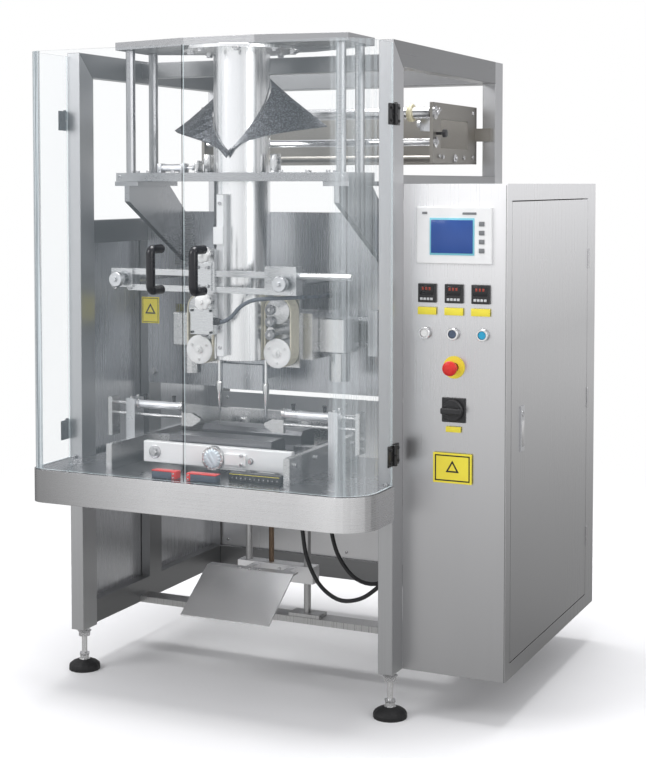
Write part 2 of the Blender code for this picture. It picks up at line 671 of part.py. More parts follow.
def table_outline(inset):
    """The table from above: a rounded front, and a narrower rear between the posts."""
    half, front = TABLE_HALF - inset, TABLE_FRONT + inset
    left_radius, right_radius = TABLE_RADII[-1] - inset, TABLE_RADII[1] - inset
    inner = FRAME_INNER - 0.0005 - inset
    right = arc((half - right_radius, front + right_radius), right_radius, 0.0, -90.0, 8)
    left = arc((left_radius - half, front + left_radius), left_radius, -90.0, -180.0, 8)
    edge = -GAP - inset
    rear = TABLE_REAR - inset
    return [(half, edge), *right, *left, (-half, edge), (-inner, edge), (-inner, rear),
            (inner, rear), (inner, edge)]


def make_table():
    """The stainless table, open below, with the bag drop and the valve block under it."""
    table = add_object("front_table", prism(table_outline(0.0), "XY", *TABLE_Z), "brushed_steel")
    cut(table, prism(table_outline(SHEET), "XY", TABLE_Z[0] - 0.01, TABLE_Z[1] - SHEET))
    (left, front), (right, rear) = DROP_HOLE
    cut(table, box((left, front, TABLE_Z[0]), (right, rear, TABLE_Z[1] + 0.01)))
    join(table, box((0.100, 0.212, 0.545), (0.250, 0.258, TABLE_Z[1] - 0.001)))
    return table


def guard_door(name, side):
    """One clear door: a bent sheet from the hinge, round the corner, to the middle of the front."""
    outer = TABLE_HALF - GUARD_INSET - GUARD_THICK / 2
    front = TABLE_FRONT + GUARD_INSET + GUARD_THICK / 2
    radius = TABLE_RADII[side] - GUARD_INSET - GUARD_THICK / 2
    bend = arc((outer - radius, front + radius), radius, 0.0, -90.0, 10)
    edge = side * GUARD_SPLIT_X + GUARD_GAP / 2
    line = [(outer, HINGE_Y - 0.001), *bend, (edge, front)]
    bm = bmesh.new()
    bottom = [bm.verts.new((side * x, y, GUARD_Z[0])) for x, y in line]
    top = [bm.verts.new((side * x, y, GUARD_Z[1])) for x, y in line]
    for a, b, c, d in zip(bottom, bottom[1:], top[1:], top):
        bm.faces.new((a, b, c, d))
    door = add_object(name, mesh_from(bm, name), "clear_sheet", (side * HINGE_X, HINGE_Y, GUARD_Z[0]))
    shell = door.modifiers.new("thickness", "SOLIDIFY")
    shell.thickness = GUARD_THICK
    shell.offset = 0.0
    shell.use_even_offset = True
    return door


def door_handle(name, side):
    """A black D handle on a guard door."""
    x = HANDLE_MIDDLE_X + side * HANDLE_SPREAD
    face = TABLE_FRONT + GUARD_INSET - GAP
    out = face - HANDLE_REACH
    low, high = HANDLE_Z
    turn = 0.014
    upper = [(y, z) for y, z in arc((out + turn, high - turn), turn, 90.0, 180.0, 4)]
    lower = [(y, z) for y, z in arc((out + turn, low + turn), turn, 180.0, 270.0, 4)]
    curve = bpy.data.curves.new(name, "CURVE")
    curve.dimensions = "3D"
    spline = curve.splines.new("POLY")
    path = [(face, high), *upper, *lower, (face, low)]
    spline.points.add(len(path) - 1)
    for point, (y, z) in zip(spline.points, path):
        point.co = (x, y, z, 1.0)
    curve.bevel_depth = HANDLE_RADIUS
    curve.bevel_resolution = 3
    curve.use_fill_caps = True
    return add_object(name, curve, "black_plastic")


def plate_outline():
    """The outline shared by the top plate and the mid plate, from above."""
    right = [(0.110, -0.020), (PLATE_HALF, 0.032), (PLATE_HALF, 0.212), (0.130, 0.320)]
    return right + [(-x, y) for x, y in reversed(right)]


def make_plates():
    """Top plate, and the mid plate with the four columns that carry the top plate."""
    top = add_object("top_plate", prism(plate_outline(), "XY", *TOP_PLATE_Z), "satin_plate")
    cut(top, rod((0, TUBE_Y, TOP_PLATE_Z[0] - 0.01), (0, TUBE_Y, TOP_PLATE_Z[1] + 0.01),
                 TUBE_RADIUS - TUBE_SHELL, 32))
    stand = add_object("mid_plate_stand", prism(plate_outline(), "XY", *MID_PLATE_Z), "satin_plate")
    for side in (-1, 1):
        for y in COLUMN_Y:
            x = side * COLUMN_X
            join(stand, rod((x, y, MID_PLATE_Z[1] - 0.002), (x, y, TOP_PLATE_Z[0] - GAP), COLUMN_RADIUS))
    cut(stand, rod((0, TUBE_Y, MID_PLATE_Z[0] - 0.01), (0, TUBE_Y, MID_PLATE_Z[1] + 0.01), 0.092, 24))
    return top, stand


def make_bracket(name, side):
    """A gusset from the back plate up and forward to the mid plate."""
    low, high = span(side, BRACKET_X - BRACKET_THICK / 2, BRACKET_X + BRACKET_THICK / 2)
    top = MID_PLATE_Z[0] - GAP
    rear = BACK_PLATE_FRONT - GAP
    web = [(0.034, top - 0.004), (0.034, 1.378), (rear - 0.004, 1.190), (rear - 0.004, 1.338),
           (0.250, top - 0.004)]
    bracket = add_object(name, prism(web, "YZ", low, high), "satin_plate")
    pad_low, pad_high = span(side, 0.291, 0.368)
    join(bracket, box((pad_low, 0.030, top - 0.013), (pad_high, 0.252, top)))
    foot_low, foot_high = span(side, 0.300, 0.360)
    join(bracket, box((foot_low, rear - 0.014, 1.180), (foot_high, rear, 1.342)))
    return bracket


def make_forming_tube():
    """Thin tube with its flange under the top plate and two spreader fingers below."""
    flange_top = TOP_PLATE_Z[0] - GAP
    inner = TUBE_RADIUS - TUBE_SHELL
    profile = [(FLANGE_RADIUS, flange_top), (FLANGE_RADIUS, flange_top - FLANGE_THICK),
               (TUBE_RADIUS, flange_top - FLANGE_THICK), (TUBE_RADIUS, TUBE_BOTTOM), (inner, TUBE_BOTTOM),
               (inner, flange_top)]
    tube = add_object("forming_tube", ring_mesh(profile, (0, TUBE_Y, 0), (0, 0, 1), 32), "chrome")
    for side in (-1, 1):
        x = side * FINGER_X
        stem = rod((x, TUBE_Y, TUBE_BOTTOM + 0.040), (x, TUBE_Y, 0.846), 0.0045)
        sleeve = rod((x, TUBE_Y, 0.864), (x, TUBE_Y, 0.842), 0.0095)
        blade = prism([(x - 0.010, 0.846), (x + 0.010, 0.846), (x + 0.004, FINGER_TIP),
                       (x - 0.004, FINGER_TIP)], "XZ", TUBE_Y - 0.003, TUBE_Y + 0.003)
        join(tube, stem, sleeve, blade)
    return tube


def neck_height(turn):
    """Height of the collar's neck line at an angle from the front of the tube."""
    share = (1.0 - cos(turn)) / 2.0
    return 1.520 + 0.225 * share ** 0.62


def make_collar():
    """The forming collar: ruled wings from the neck line out to their straight rear edges."""
    centre = Vector((0.0, TUBE_Y, 0.0))
    tip_turn, tip_reach, tip_z = radians(102.0), 0.246, 1.588
    tip = centre + Vector((tip_reach * sin(tip_turn), -tip_reach * cos(tip_turn), tip_z))
    crest = Vector((0.0, TUBE_Y + NECK_RADIUS + 0.010, 1.752))
    steps = 16
    rows = []
    for index in range(steps + 1):
        turn = pi * index / steps
        neck = centre + Vector((NECK_RADIUS * sin(turn), -NECK_RADIUS * cos(turn), neck_height(turn)))
        share = index / steps * 2.0
        if share <= 1.0:
            reach = 0.093 + (tip_reach - 0.093) * share ** 1.6
            swing = tip_turn * share
            height = 1.500 + (tip_z - 1.500) * share ** 0.6
            edge = centre + Vector((reach * sin(swing), -reach * cos(swing), height))
        else:
            edge = tip.lerp(crest, share - 1.0)
        rows.append([neck.lerp(edge, part / 3) for part in range(4)])
    bm = bmesh.new()
    grid = [[bm.verts.new(point) for point in row] for row in rows]
    for first, second in zip(grid, grid[1:]):
        for a, b, c, d in zip(first, first[1:], second[1:], second):
            bm.faces.new((a, b, c, d))
    collar = add_object("forming_collar", mesh_from(bm, "collar"), "embossed_steel")
    mirror = collar.modifiers.new("other_wing", "MIRROR")
    mirror.merge_threshold = 0.00005
    shell = collar.modifiers.new("thickness", "SOLIDIFY")
    shell.thickness = 0.002
    shell.offset = 0.0
    smooth(collar, 35.0)
    return collar


def make_sealer_arm():
    """Two shafts from the back plate, the cross bars and the block that guides the vertical sealer."""
    rear = BACK_PLATE_FRONT - GAP
    arm = add_object("sealer_arm", box(*ARM_LEFT_BLOCK), "white_bar")
    join(arm, box(*ARM_RIGHT_BLOCK), box(*ARM_CENTRE_BLOCK))
    bars_left, bars_right = ARM_LEFT_BLOCK[1][0] - 0.020, ARM_RIGHT_BLOCK[0][0] + 0.010
    join(arm, *[box((bars_left, -0.013, z), (bars_right, -0.001, z + ARM_BAR_HEIGHT)) for z in ARM_BARS_Z])
    lug_low, lug_high = SEALER_ROD_Z
    join(arm, box((SEALER_ROD_X - 0.019, -0.018, lug_low - 0.044),
                  (SEALER_ROD_X + 0.015, -0.004, lug_high + 0.014)))
    bore = SEALER_ROD_RADIUS + BORE_CLEARANCE
    cut(arm, *[rod((SEALER_ROD_X, -0.04, z), (SEALER_ROD_X, 0.02, z), bore) for z in SEALER_ROD_Z])
    join(arm, box(*TERMINAL_BOX))
    for x in ARM_SHAFT_X:
        join(arm, rod((x, -0.012, ARM_SHAFT_Z), (x, rear, ARM_SHAFT_Z), ARM_SHAFT_RADIUS))
        join(arm, rod((x, rear - 0.010, ARM_SHAFT_Z), (x, rear, ARM_SHAFT_Z), ARM_COLLAR_RADIUS))
        join(arm, rod((x, -0.046, ARM_SHAFT_Z), (x, -0.030, ARM_SHAFT_Z), ARM_COLLAR_RADIUS))
        join(arm, rod((x, -0.034, ARM_SHAFT_Z), (x, -0.012, ARM_SHAFT_Z), ARM_STUD_RADIUS))
    side_start, side_end, side_z = SIDE_SHAFT
    join(arm, rod((side_start, 0.0, side_z), (side_end, 0.0, side_z), SIDE_SHAFT_RADIUS))
    return arm


def make_vertical_sealer():
    """The heated bar that seals the bag's back seam, on two knobbed rods."""
    sealer = add_object("vertical_sealer", soft_box(*SEALER_BAR, 0.0015, 1), "white_bar")
    join(sealer, box((-0.026, -0.006, 1.262), (0.004, 0.006, 1.310)))
    for z in SEALER_ROD_Z:
        join(sealer, box((SEALER_ROD_X - 0.009, 0.003, z - 0.011), (-0.012, 0.014, z + 0.011)))
        join(sealer, rod((SEALER_ROD_X, -0.052, z), (SEALER_ROD_X, 0.008, z), SEALER_ROD_RADIUS))
        join(sealer, rod((SEALER_ROD_X, -0.066, z), (SEALER_ROD_X, -0.050, z), KNOB_RADIUS))
    return sealer


def belt_outline(side, radius):
    """A belt loop's outline in X and Z."""
    low, high = BELT_Z
    upper = arc((side * BELT_X, high), radius, 0.0, 180.0, 8)
    lower = arc((side * BELT_X, low), radius, 180.0, 360.0, 8)
    return upper + lower


def make_belts(name, side):
    """A belt, its driven pulley and the sliding unit that carries them."""
    low_y, high_y = BELT_Y
    loop = prism(belt_outline(side, BELT_RADIUS), "XZ", low_y, high_y)
    belt = add_object(f"belt_{name}", loop, "belt_cream")
    inside = BELT_RADIUS - BELT_THICK
    cut(belt, prism(belt_outline(side, inside), "XZ", low_y - 0.01, high_y + 0.01))
    smooth(belt)
    x = side * BELT_X
    drive, idle = BELT_Z
    drum = inside - PULLEY_GAP
    wheel = [(0.0, -0.004), (0.012, -0.004), (drum, 0.000), (drum, 0.0515), (PULLEY_AXLE, 0.0515)]
    driven = [*wheel, (PULLEY_AXLE, 0.066), (0.0, 0.066)]
    turned(f"belt_pulley_{name}", driven[::-1], (x, low_y, drive), (0, 1, 0), "aluminium", 20)
    idle_wheel = [*wheel, (PULLEY_AXLE, 0.0585), (0.0, 0.0585)]
    x_low, x_high = span(side, *UNIT_PLATE_X)
    carrier = box((x_low, UNIT_PLATE_Y[0], UNIT_PLATE_Z[0]), (x_high, UNIT_PLATE_Y[1], UNIT_PLATE_Z[1]))
    unit = add_object(f"belt_unit_{name}", carrier, "satin_plate")
    join(unit, ring_mesh(idle_wheel[::-1], (x, low_y, idle), (0, 1, 0), 20))
    roller_x = side * (BELT_X - inside + PULLEY_GAP + NIP_ROLLER_RADIUS)
    join(unit, rod((roller_x, low_y + 0.002, NIP_ROLLER_Z), (roller_x, UNIT_PLATE_Y[0] + 0.002, NIP_ROLLER_Z),
                   NIP_ROLLER_RADIUS))
    x_low, x_high = span(side, *HOUSING_X)
    join(unit, box((x_low, UNIT_PLATE_Y[1] - 0.001, 0.935), (x_high, 0.352, 1.065)))
    x_low, x_high = span(side, *GEARBOX_X)
    join(unit, soft_box((x_low, 0.200, 0.950), (x_high, 0.300, 1.050), 0.004, 1))
    motor_x, motor_y = side * MOTOR_PLACE[0], MOTOR_PLACE[1]
    join(unit, rod((motor_x, motor_y, MOTOR_Z[0]), (motor_x, motor_y, MOTOR_Z[1]), MOTOR_RADIUS))
    cut(unit, rod((x, 0.140, drive), (x, 0.170, drive), PULLEY_AXLE + BORE_CLEARANCE))
    bore = SLIDE_ROD_RADIUS + BORE_CLEARANCE
    cut(unit, *[rod((side * 0.05, SLIDE_ROD_Y, z), (side * 0.30, SLIDE_ROD_Y, z), bore)
                for z in SLIDE_ROD_Z])
    return unit


def make_back_plate():
    """The plate that carries the sealing gear, with the belt units' two slide rods and a film guide."""
    low = (-FRAME_INNER + GAP, BACK_PLATE_FRONT, BACK_PLATE_Z[0])
    high = (FRAME_INNER - GAP, BACK_PLATE_FRONT + BACK_PLATE_THICK, BACK_PLATE_Z[1])
    plate = add_object("back_plate", box(low, high), "satin_plate")
    for side in (-1, 1):
        x_low, x_high = span(side, 0.304, 0.334)
        join(plate, box((x_low, 0.308, 0.935), (x_high, BACK_PLATE_FRONT + 0.001, 1.065)))
    for z in SLIDE_ROD_Z:
        join(plate, rod((-0.310, SLIDE_ROD_Y, z), (0.310, SLIDE_ROD_Y, z), SLIDE_ROD_RADIUS))
    join(plate, box((-0.110, 0.200, 0.832), (0.020, 0.225, 0.906)))
    join(plate, box((-0.065, 0.223, 0.852), (-0.025, BACK_PLATE_FRONT + 0.001, 0.884)))
    return plate


def make_jaw_frame():
    """Side plates on the table, a bored cross plate, bushes and the closing cylinder."""
    bottom = TABLE_Z[1] + GAP
    front, rear = SIDE_PLATE_Y
    (left_low, left_high), (right_low, right_high) = SIDE_PLATES_X
    left_plate = box((left_low, front, bottom), (left_high, rear, SIDE_PLATE_TOP))
    frame = add_object("jaw_frame", left_plate, "satin_plate")
    join(frame, box((right_low, front, bottom), (right_high, rear, SIDE_PLATE_TOP)))
    join(frame, box((left_low + 0.002, CROSS_PLATE_Y[0], bottom + 0.004),
                    (right_high - 0.002, CROSS_PLATE_Y[1], CROSS_PLATE_TOP)))
    bush_y, bush_z = ROD_BUSH
    join(frame, box((left_high - 0.002, bush_y[0], bush_z[0]), (-ROD_BUSH_X, bush_y[1], bush_z[1])))
    join(frame, box((ROD_BUSH_X, bush_y[0], bush_z[0]), (right_low + 0.002, bush_y[1], bush_z[1])))
    join(frame, rod((0.0, CROSS_PLATE_Y[1] - 0.002, CLOSER_Z), (0.0, CLOSER_REAR, CLOSER_Z), CLOSER_RADIUS))
    bore = JAW_ROD_RADIUS + BORE_CLEARANCE
    for side in (-1, 1):
        rear_x, front_x = side * REAR_ROD_X, side * FRONT_ROD_X
        join(frame, rod((rear_x, CROSS_PLATE_Y[0] - 0.012, REAR_ROD_Z),
                        (rear_x, CROSS_PLATE_Y[0] + 0.002, REAR_ROD_Z), REAR_BUSH_RADIUS))
        cut(frame, rod((rear_x, 0.270, REAR_ROD_Z), (rear_x, 0.340, REAR_ROD_Z), bore))
        cut(frame, rod((front_x, 0.060, FRONT_ROD_Z), (front_x, 0.350, FRONT_ROD_Z), bore))
    cut(frame, rod((0.0, 0.280, CLOSER_Z), (0.0, 0.425, CLOSER_Z), CLOSER_ROD_RADIUS + BORE_CLEARANCE))
    return frame


def jaw_section(front, rear):
    """A jaw body's section in Y and Z, its working nose rounded towards the other jaw."""
    low, high = JAW_Z
    step = 0.012 if rear > front else -0.012
    return [(front, low), (rear - step, low), (rear, low + 0.016), (rear, high - 0.012),
            (rear - step, high), (front, high)]


def make_jaws():
    """Front and rear sealing jaws on their guide rods."""
    front, rear = JAW_FRONT_Y
    jaw = add_object("jaw_front", prism(jaw_section(front, rear), "YZ", -JAW_HALF, JAW_HALF), "jaw_steel")
    join(jaw, soft_box(*JAW_BAR, 0.002, 1))
    join(jaw, box((-0.120, JAW_BAR[1][1] - 0.001, 0.676), (0.120, front + 0.001, 0.704)))
    for side in (-1, 1):
        join(jaw, rod((side * FRONT_ROD_X, JAW_BAR[1][1] - 0.004, FRONT_ROD_Z),
                      (side * FRONT_ROD_X, 0.342, FRONT_ROD_Z), JAW_ROD_RADIUS))
    cover = JAW_BAR[0][1]
    join(jaw, rod((0.0, cover - 0.012, COVER_Z), (0.0, cover + 0.002, COVER_Z), COVER_RADIUS, 8))
    join(jaw, box((0.034, cover - 0.008, 0.662), (0.100, cover + 0.002, 0.692)))
    front, rear = JAW_REAR_Y
    back_body = prism(jaw_section(rear, front), "YZ", -JAW_HALF, JAW_HALF)
    back_jaw = add_object("jaw_rear", back_body, "jaw_steel")
    for side in (-1, 1):
        x = side * REAR_ROD_X
        join(back_jaw, rod((x, rear - 0.004, REAR_ROD_Z), (x, 0.388, REAR_ROD_Z), JAW_ROD_RADIUS))
    join(back_jaw, rod((0.0, rear - 0.004, CLOSER_Z), (0.0, 0.400, CLOSER_Z), CLOSER_ROD_RADIUS))
    return jaw, back_jaw


def make_gusset(name, side):
    """A cylinder on its stand, and the blade it pushes into the bag's side."""
    inner, outer = GUSSET_STAND_X
    y_low, y_high = GUSSET_Y - 0.025, GUSSET_Y + 0.025

    def bar(start, end, z, radius):
        """A round bar along X at one height, on this side."""
        return rod((side * start, GUSSET_Y, z), (side * end, GUSSET_Y, z), radius)

    x_low, x_high = span(side, inner, outer)
    column = box((x_low, y_low, TABLE_Z[1] + GAP), (x_high, y_high, GUSSET_TOP))
    stand = add_object(f"gusset_cylinder_{name}", column, "aluminium")
    join(stand, bar(0.160, inner + 0.004, CYLINDER_Z, CYLINDER_RADIUS))
    clear = GUSSET_ROD_RADIUS + BORE_CLEARANCE
    cut(stand, bar(0.180, outer + 0.01, CYLINDER_Z, clear))
    cut(stand, bar(inner - 0.01, outer + 0.01, GUSSET_ROD_Z, clear))
    x_low, x_high = span(side, *GUSSET_OUTER_X)
    outer_plate = box((x_low, y_low + 0.004, 0.700), (x_high, y_high - 0.004, GUSSET_TOP))
    blade = add_object(f"gusset_blade_{name}", outer_plate, "satin_plate")
    reach = GUSSET_OUTER_X[0] + 0.004
    join(blade, bar(0.226, reach, CYLINDER_Z, GUSSET_ROD_RADIUS))
    join(blade, bar(0.158, reach, GUSSET_ROD_Z, GUSSET_ROD_RADIUS))
    outline = [(side * 0.102, 0.757), (side * 0.128, 0.740), (side * 0.162, 0.740), (side * 0.162, 0.778),
               (side * 0.128, 0.778), (side * 0.102, 0.765)]
    join(blade, prism(outline, "XZ", GUSSET_Y - 0.006, GUSSET_Y + 0.006))
    return stand, blade


def make_chute():
    """The cross beam with its rods and height screw, and the chute on its sliding carriage."""
    beam = box((-FRAME_INNER + GAP, BEAM_Y[0], BEAM_Z[0]), (FRAME_HALF, BEAM_Y[1], BEAM_Z[1]))
    stand = add_object("chute_stand", beam, "satin_plate")
    for x in (-CHUTE_ROD_X, CHUTE_ROD_X):
        join(stand, box((x - 0.050, BEAM_Y[0] + 0.003, BEAM_Z[1] - 0.001),
                        (x + 0.050, BEAM_Y[1] - 0.003, BEAM_Z[1] + 0.010)))
        join(stand, rod((x, CHUTE_ROD_Y, BEAM_Z[1]), (x, CHUTE_ROD_Y, CHUTE_ROD_TOP), CHUTE_ROD_RADIUS))
    join(stand, rod((CHUTE_SCREW_X, CHUTE_ROD_Y, BEAM_Z[0] + 0.004), (CHUTE_SCREW_X, CHUTE_ROD_Y, 0.560),
                    CHUTE_SCREW_RADIUS))
    low, high = CARRIAGE_Z
    carriage = box((-0.125, CHUTE_ROD_Y - 0.022, low), (0.125, CHUTE_ROD_Y + 0.022, high))
    chute = add_object("bag_chute", carriage, "satin_plate")
    for x, radius in ((-CHUTE_ROD_X, CHUTE_ROD_RADIUS), (CHUTE_ROD_X, CHUTE_ROD_RADIUS),
                      (CHUTE_SCREW_X, CHUTE_SCREW_RADIUS)):
        cut(chute, rod((x, CHUTE_ROD_Y, low - 0.01), (x, CHUTE_ROD_Y, high + 0.01), radius + BORE_CLEARANCE))
    (top_y, top_z), (end_y, end_z) = CHUTE_TOP, CHUTE_BOTTOM
    for x in (-0.060, 0.060):
        join(chute, box((x - 0.012, top_y - 0.004, top_z - 0.046),
                        (x + 0.012, CHUTE_ROD_Y - 0.020, top_z - 0.024)))
    fall = Vector((end_y - top_y, end_z - top_z)).normalized()
    under = Vector((-fall.y, fall.x)) * CHUTE_THICK
    corner_y = top_y + under.x - (CHUTE_THICK + under.y) * fall.x / fall.y
    lip = top_y + 0.030
    outline = [(lip, top_z), (top_y, top_z), (end_y, end_z), (end_y + under.x, end_z + under.y),
               (corner_y, top_z - CHUTE_THICK), (lip, top_z - CHUTE_THICK)]
    plate = prism(outline, "YZ", -CHUTE_HALF, CHUTE_HALF)
    join(chute, plate)
    join(chute, box((-0.072, top_y, top_z - 0.046), (0.072, top_y + 0.012, top_z - 0.002)))
    join(chute, rod((0.030, CHUTE_ROD_Y - 0.021, 0.275), (0.030, CHUTE_ROD_Y - 0.052, 0.275), 0.005))
    join(chute, rod((0.030, CHUTE_ROD_Y - 0.052, 0.252), (0.030, CHUTE_ROD_Y - 0.052, 0.298), 0.005))
    return stand, chute


def make_film_rack():
    """Side plates, a rear cover and a cross bar on the rear posts, and the idle rollers between."""
    y_low, y_high = RACK_Y
    z_low, z_high = RACK_Z
    right = box((RACK_RIGHT_X[0], y_low, z_low), (RACK_RIGHT_X[1], y_high, z_high))
    rack = add_object("film_rack", right, "rack_steel")
    join(rack, box((RACK_LEFT_X[0], y_low, z_low), (RACK_LEFT_X[1], y_high, z_high)))
    rear = REAR_POST_FRONT - GAP
    join(rack, box((-0.500, y_high - 0.012, 1.560), (0.500, rear, 1.600)))
    join(rack, box((RACK_LEFT_X[1] - 0.002, RACK_COVER_Y[0], z_low),
                   (RACK_RIGHT_X[0] + 0.002, RACK_COVER_Y[1], z_high)))
    tie_y, tie_z = TIE_ROD
    join(rack, rod((RACK_LEFT_X[1] - 0.002, tie_y, tie_z), (RACK_RIGHT_X[0] + 0.002, tie_y, tie_z), 0.010))
    (window_front, window_low), (window_rear, window_high) = RACK_WINDOW
    cut(rack, *[box((low - 0.01, window_front, window_low), (high + 0.01, window_rear, window_high))
                for low, high in (RACK_LEFT_X, RACK_RIGHT_X)])
    for y, z in (TOP_ROLLER, LOW_ROLLER):
        for low, high in (RACK_LEFT_X, RACK_RIGHT_X):
            cut(rack, rod((low - 0.01, y, z), (high + 0.01, y, z), ROLLER_AXLE + BORE_CLEARANCE))
    start, end = RACK_LEFT_X[1] + 0.003, RACK_RIGHT_X[0] - 0.003
    reach = 0.014
    length = end - start
    for name, (y, z), radius, disc in (("guide_roller_top", TOP_ROLLER, 0.017, True),
                                       ("guide_roller_lower", LOW_ROLLER, 0.011, False)):
        profile = [(0.0, length + reach), (ROLLER_AXLE, length + reach), (ROLLER_AXLE, length),
                   (radius, length)]
        if disc:
            profile += [(radius, length - 0.055), (0.025, length - 0.055), (0.025, length - 0.065),
                        (radius, length - 0.065)]
        profile += [(radius, 0.0), (ROLLER_AXLE, 0.0), (ROLLER_AXLE, -reach), (0.0, -reach)]
        turned(name, profile, (start, y, z), (1, 0, 0), "chrome")
    return rack


def make_film_roll_shaft():
    """The reel shaft with its two cones."""
    half = CARRIER_X[1] - 0.002
    radius = FILM_SHAFT_RADIUS
    end = [(0.0, half), (radius, half), (radius, 0.330), (0.045, 0.330), (0.045, 0.318), (0.026, 0.270),
           (radius, 0.270)]
    profile = end + [(r, -x) for r, x in reversed(end)]
    turned("film_roll_shaft", profile, (0.0, *FILM_SHAFT), (1, 0, 0), "brushed_steel")


def make_dancer():
    """The swinging film tension arm: pivot tube, two arms and a roller bar."""
    half = CARRIER_X[1] - 0.002
    pivot = (0.0, *DANCER_PIVOT)
    arm = add_object("dancer_arm", rod((-half, *DANCER_PIVOT), (half, *DANCER_PIVOT), DANCER_RADIUS),
                     "brushed_steel", pivot)
    along = Vector((DANCER_ROLLER[0] - DANCER_PIVOT[0], DANCER_ROLLER[1] - DANCER_PIVOT[1])).normalized()
    across = Vector((-along.y, along.x))
    start, end = Vector(DANCER_PIVOT) - along * 0.014, Vector(DANCER_ROLLER) + along * 0.014
    outline = [start + across * 0.014, end + across * 0.014, end - across * 0.014, start - across * 0.014]
    for side in (-1, 1):
        low, high = span(side, 0.420, 0.430)
        join(arm, prism([(p.x, p.y) for p in outline], "YZ", low, high))
    join(arm, rod((-0.424, *DANCER_ROLLER), (0.424, *DANCER_ROLLER), 0.012))
    return arm


def build():
    """Make every sub-part of the machine."""
    make_left_side_frame()
    make_right_side_frame()
    make_rear_frame()
    make_feet()
    make_panels()
    make_cabinet()
    make_cabinet_door()
    make_control_panel()
    make_table()
    guard_door("guard_door_left", -1)
    guard_door("guard_door_right", 1)
    door_handle("door_handle_left", -1)
    door_handle("door_handle_right", 1)
    make_plates()
    make_bracket("bracket_left", -1)
    make_bracket("bracket_right", 1)
    make_forming_tube()
    make_collar()
    make_back_plate()
    make_sealer_arm()
    make_vertical_sealer()
    make_belts("left", -1)
    make_belts("right", 1)
    make_jaw_frame()
    make_jaws()
    make_gusset("left", -1)
    make_gusset("right", 1)
    make_chute()
    make_film_rack()
    make_film_roll_shaft()
    make_dancer()
    hose("air_hose_front", HOSE_FRONT_ROUTE, HOSE_DIAMETER, "black_rubber")
    hose("air_hose_rear", HOSE_REAR_ROUTE, HOSE_DIAMETER, "black_rubber")
    hose("sealer_conduit", CONDUIT_ROUTE, CONDUIT_DIAMETER, "conduit_grey")


clear_scene()
PARTS = make_collection("vertical_form_fill_sealer")
CUTTERS = make_collection("cutters")
DATUM = make_origin()
build()
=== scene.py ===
"""Looks of the vertical form fill sealer: materials, small fittings, studio and camera."""

from itertools import product
from math import cos, radians, sin, tau

import bmesh
import bpy
from mathutils import Matrix, Vector


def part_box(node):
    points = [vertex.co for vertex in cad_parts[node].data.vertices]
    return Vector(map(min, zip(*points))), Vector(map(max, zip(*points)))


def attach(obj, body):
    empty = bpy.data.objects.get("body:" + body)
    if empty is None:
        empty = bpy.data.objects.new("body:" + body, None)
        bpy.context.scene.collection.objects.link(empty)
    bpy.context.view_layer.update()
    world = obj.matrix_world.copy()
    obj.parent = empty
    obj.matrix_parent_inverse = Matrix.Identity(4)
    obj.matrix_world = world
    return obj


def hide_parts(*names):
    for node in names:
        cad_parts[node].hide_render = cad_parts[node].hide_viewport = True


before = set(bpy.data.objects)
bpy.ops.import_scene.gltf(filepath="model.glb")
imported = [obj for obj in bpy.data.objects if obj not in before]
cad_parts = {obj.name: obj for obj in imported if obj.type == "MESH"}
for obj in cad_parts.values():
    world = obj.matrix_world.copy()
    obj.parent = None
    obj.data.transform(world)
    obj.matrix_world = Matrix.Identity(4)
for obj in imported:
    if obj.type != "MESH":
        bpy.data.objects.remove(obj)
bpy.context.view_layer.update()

TUBE_LOW, TUBE_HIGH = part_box("forming_tube")
FRAME_LOW, FRAME_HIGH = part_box("left_side_frame")
CABINET_LOW, CABINET_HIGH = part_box("control_cabinet")
DATUM = Vector(((TUBE_LOW[0] + TUBE_HIGH[0]) / 2, FRAME_LOW[1], 0.0))
X, Y, Z = Vector((1, 0, 0)), Vector((0, 1, 0)), Vector((0, 0, 1))
MACHINE = "machine_body"
SIDES = ((-1, "left"), (1, "right"))


def here(x, y, z):
    """A point measured from the tube's centre line, the front posts' face and the floor."""
    return DATUM + Vector((x, y, z))


def located(point):
    """A tuple is measured as in here(); a vector is in the frame already."""
    return point.copy() if isinstance(point, Vector) else here(*point)


def grid(*coordinates):
    """Every crossing of three lists of coordinates, where a number is a list of one."""
    return list(product(*[(c,) if isinstance(c, float) else c for c in coordinates]))


# ---------------------------------------------------------------- shader nodes

class Nodes:
    """A node tree with short ways to add and join its nodes."""

    def __init__(self, tree):
        self.nodes, self.links = tree.nodes, tree.links

    def join(self, value, socket):
        """Feed a socket from another one, or set its value."""
        if hasattr(value, "is_output"):
            self.links.new(value, socket)
        else:
            socket.default_value = value

    def add(self, kind, sockets=None, **settings):
        """A new node with its settings and inputs."""
        node = self.nodes.new("ShaderNode" + kind)
        for name, value in settings.items():
            setattr(node, name, value)
        for name, value in (sockets or {}).items():
            self.join(value, node.inputs[name])
        return node

    def math(self, operation, *values, clamp=False):
        """One arithmetic step on sockets or numbers."""
        return self.add("Math", dict(enumerate(values)), operation=operation, use_clamp=clamp).outputs[0]

    def between(self, value, low, high, out_low=0.0, out_high=1.0, **settings):
        """Value mapped from one range to another and held there."""
        sockets = {"From Min": low, "From Max": high, "To Min": out_low, "To Max": out_high, "Value": value}
        return self.add("MapRange", sockets, **settings).outputs[0]

    def either(self, share, first, second):
        """A mix of two shaders."""
        return self.add("MixShader", {0: share, 1: first, 2: second}).outputs[0]

    def straight_view(self):
        """Whether the camera sees this point directly."""
        return self.add("LightPath").outputs["Is Camera Ray"]


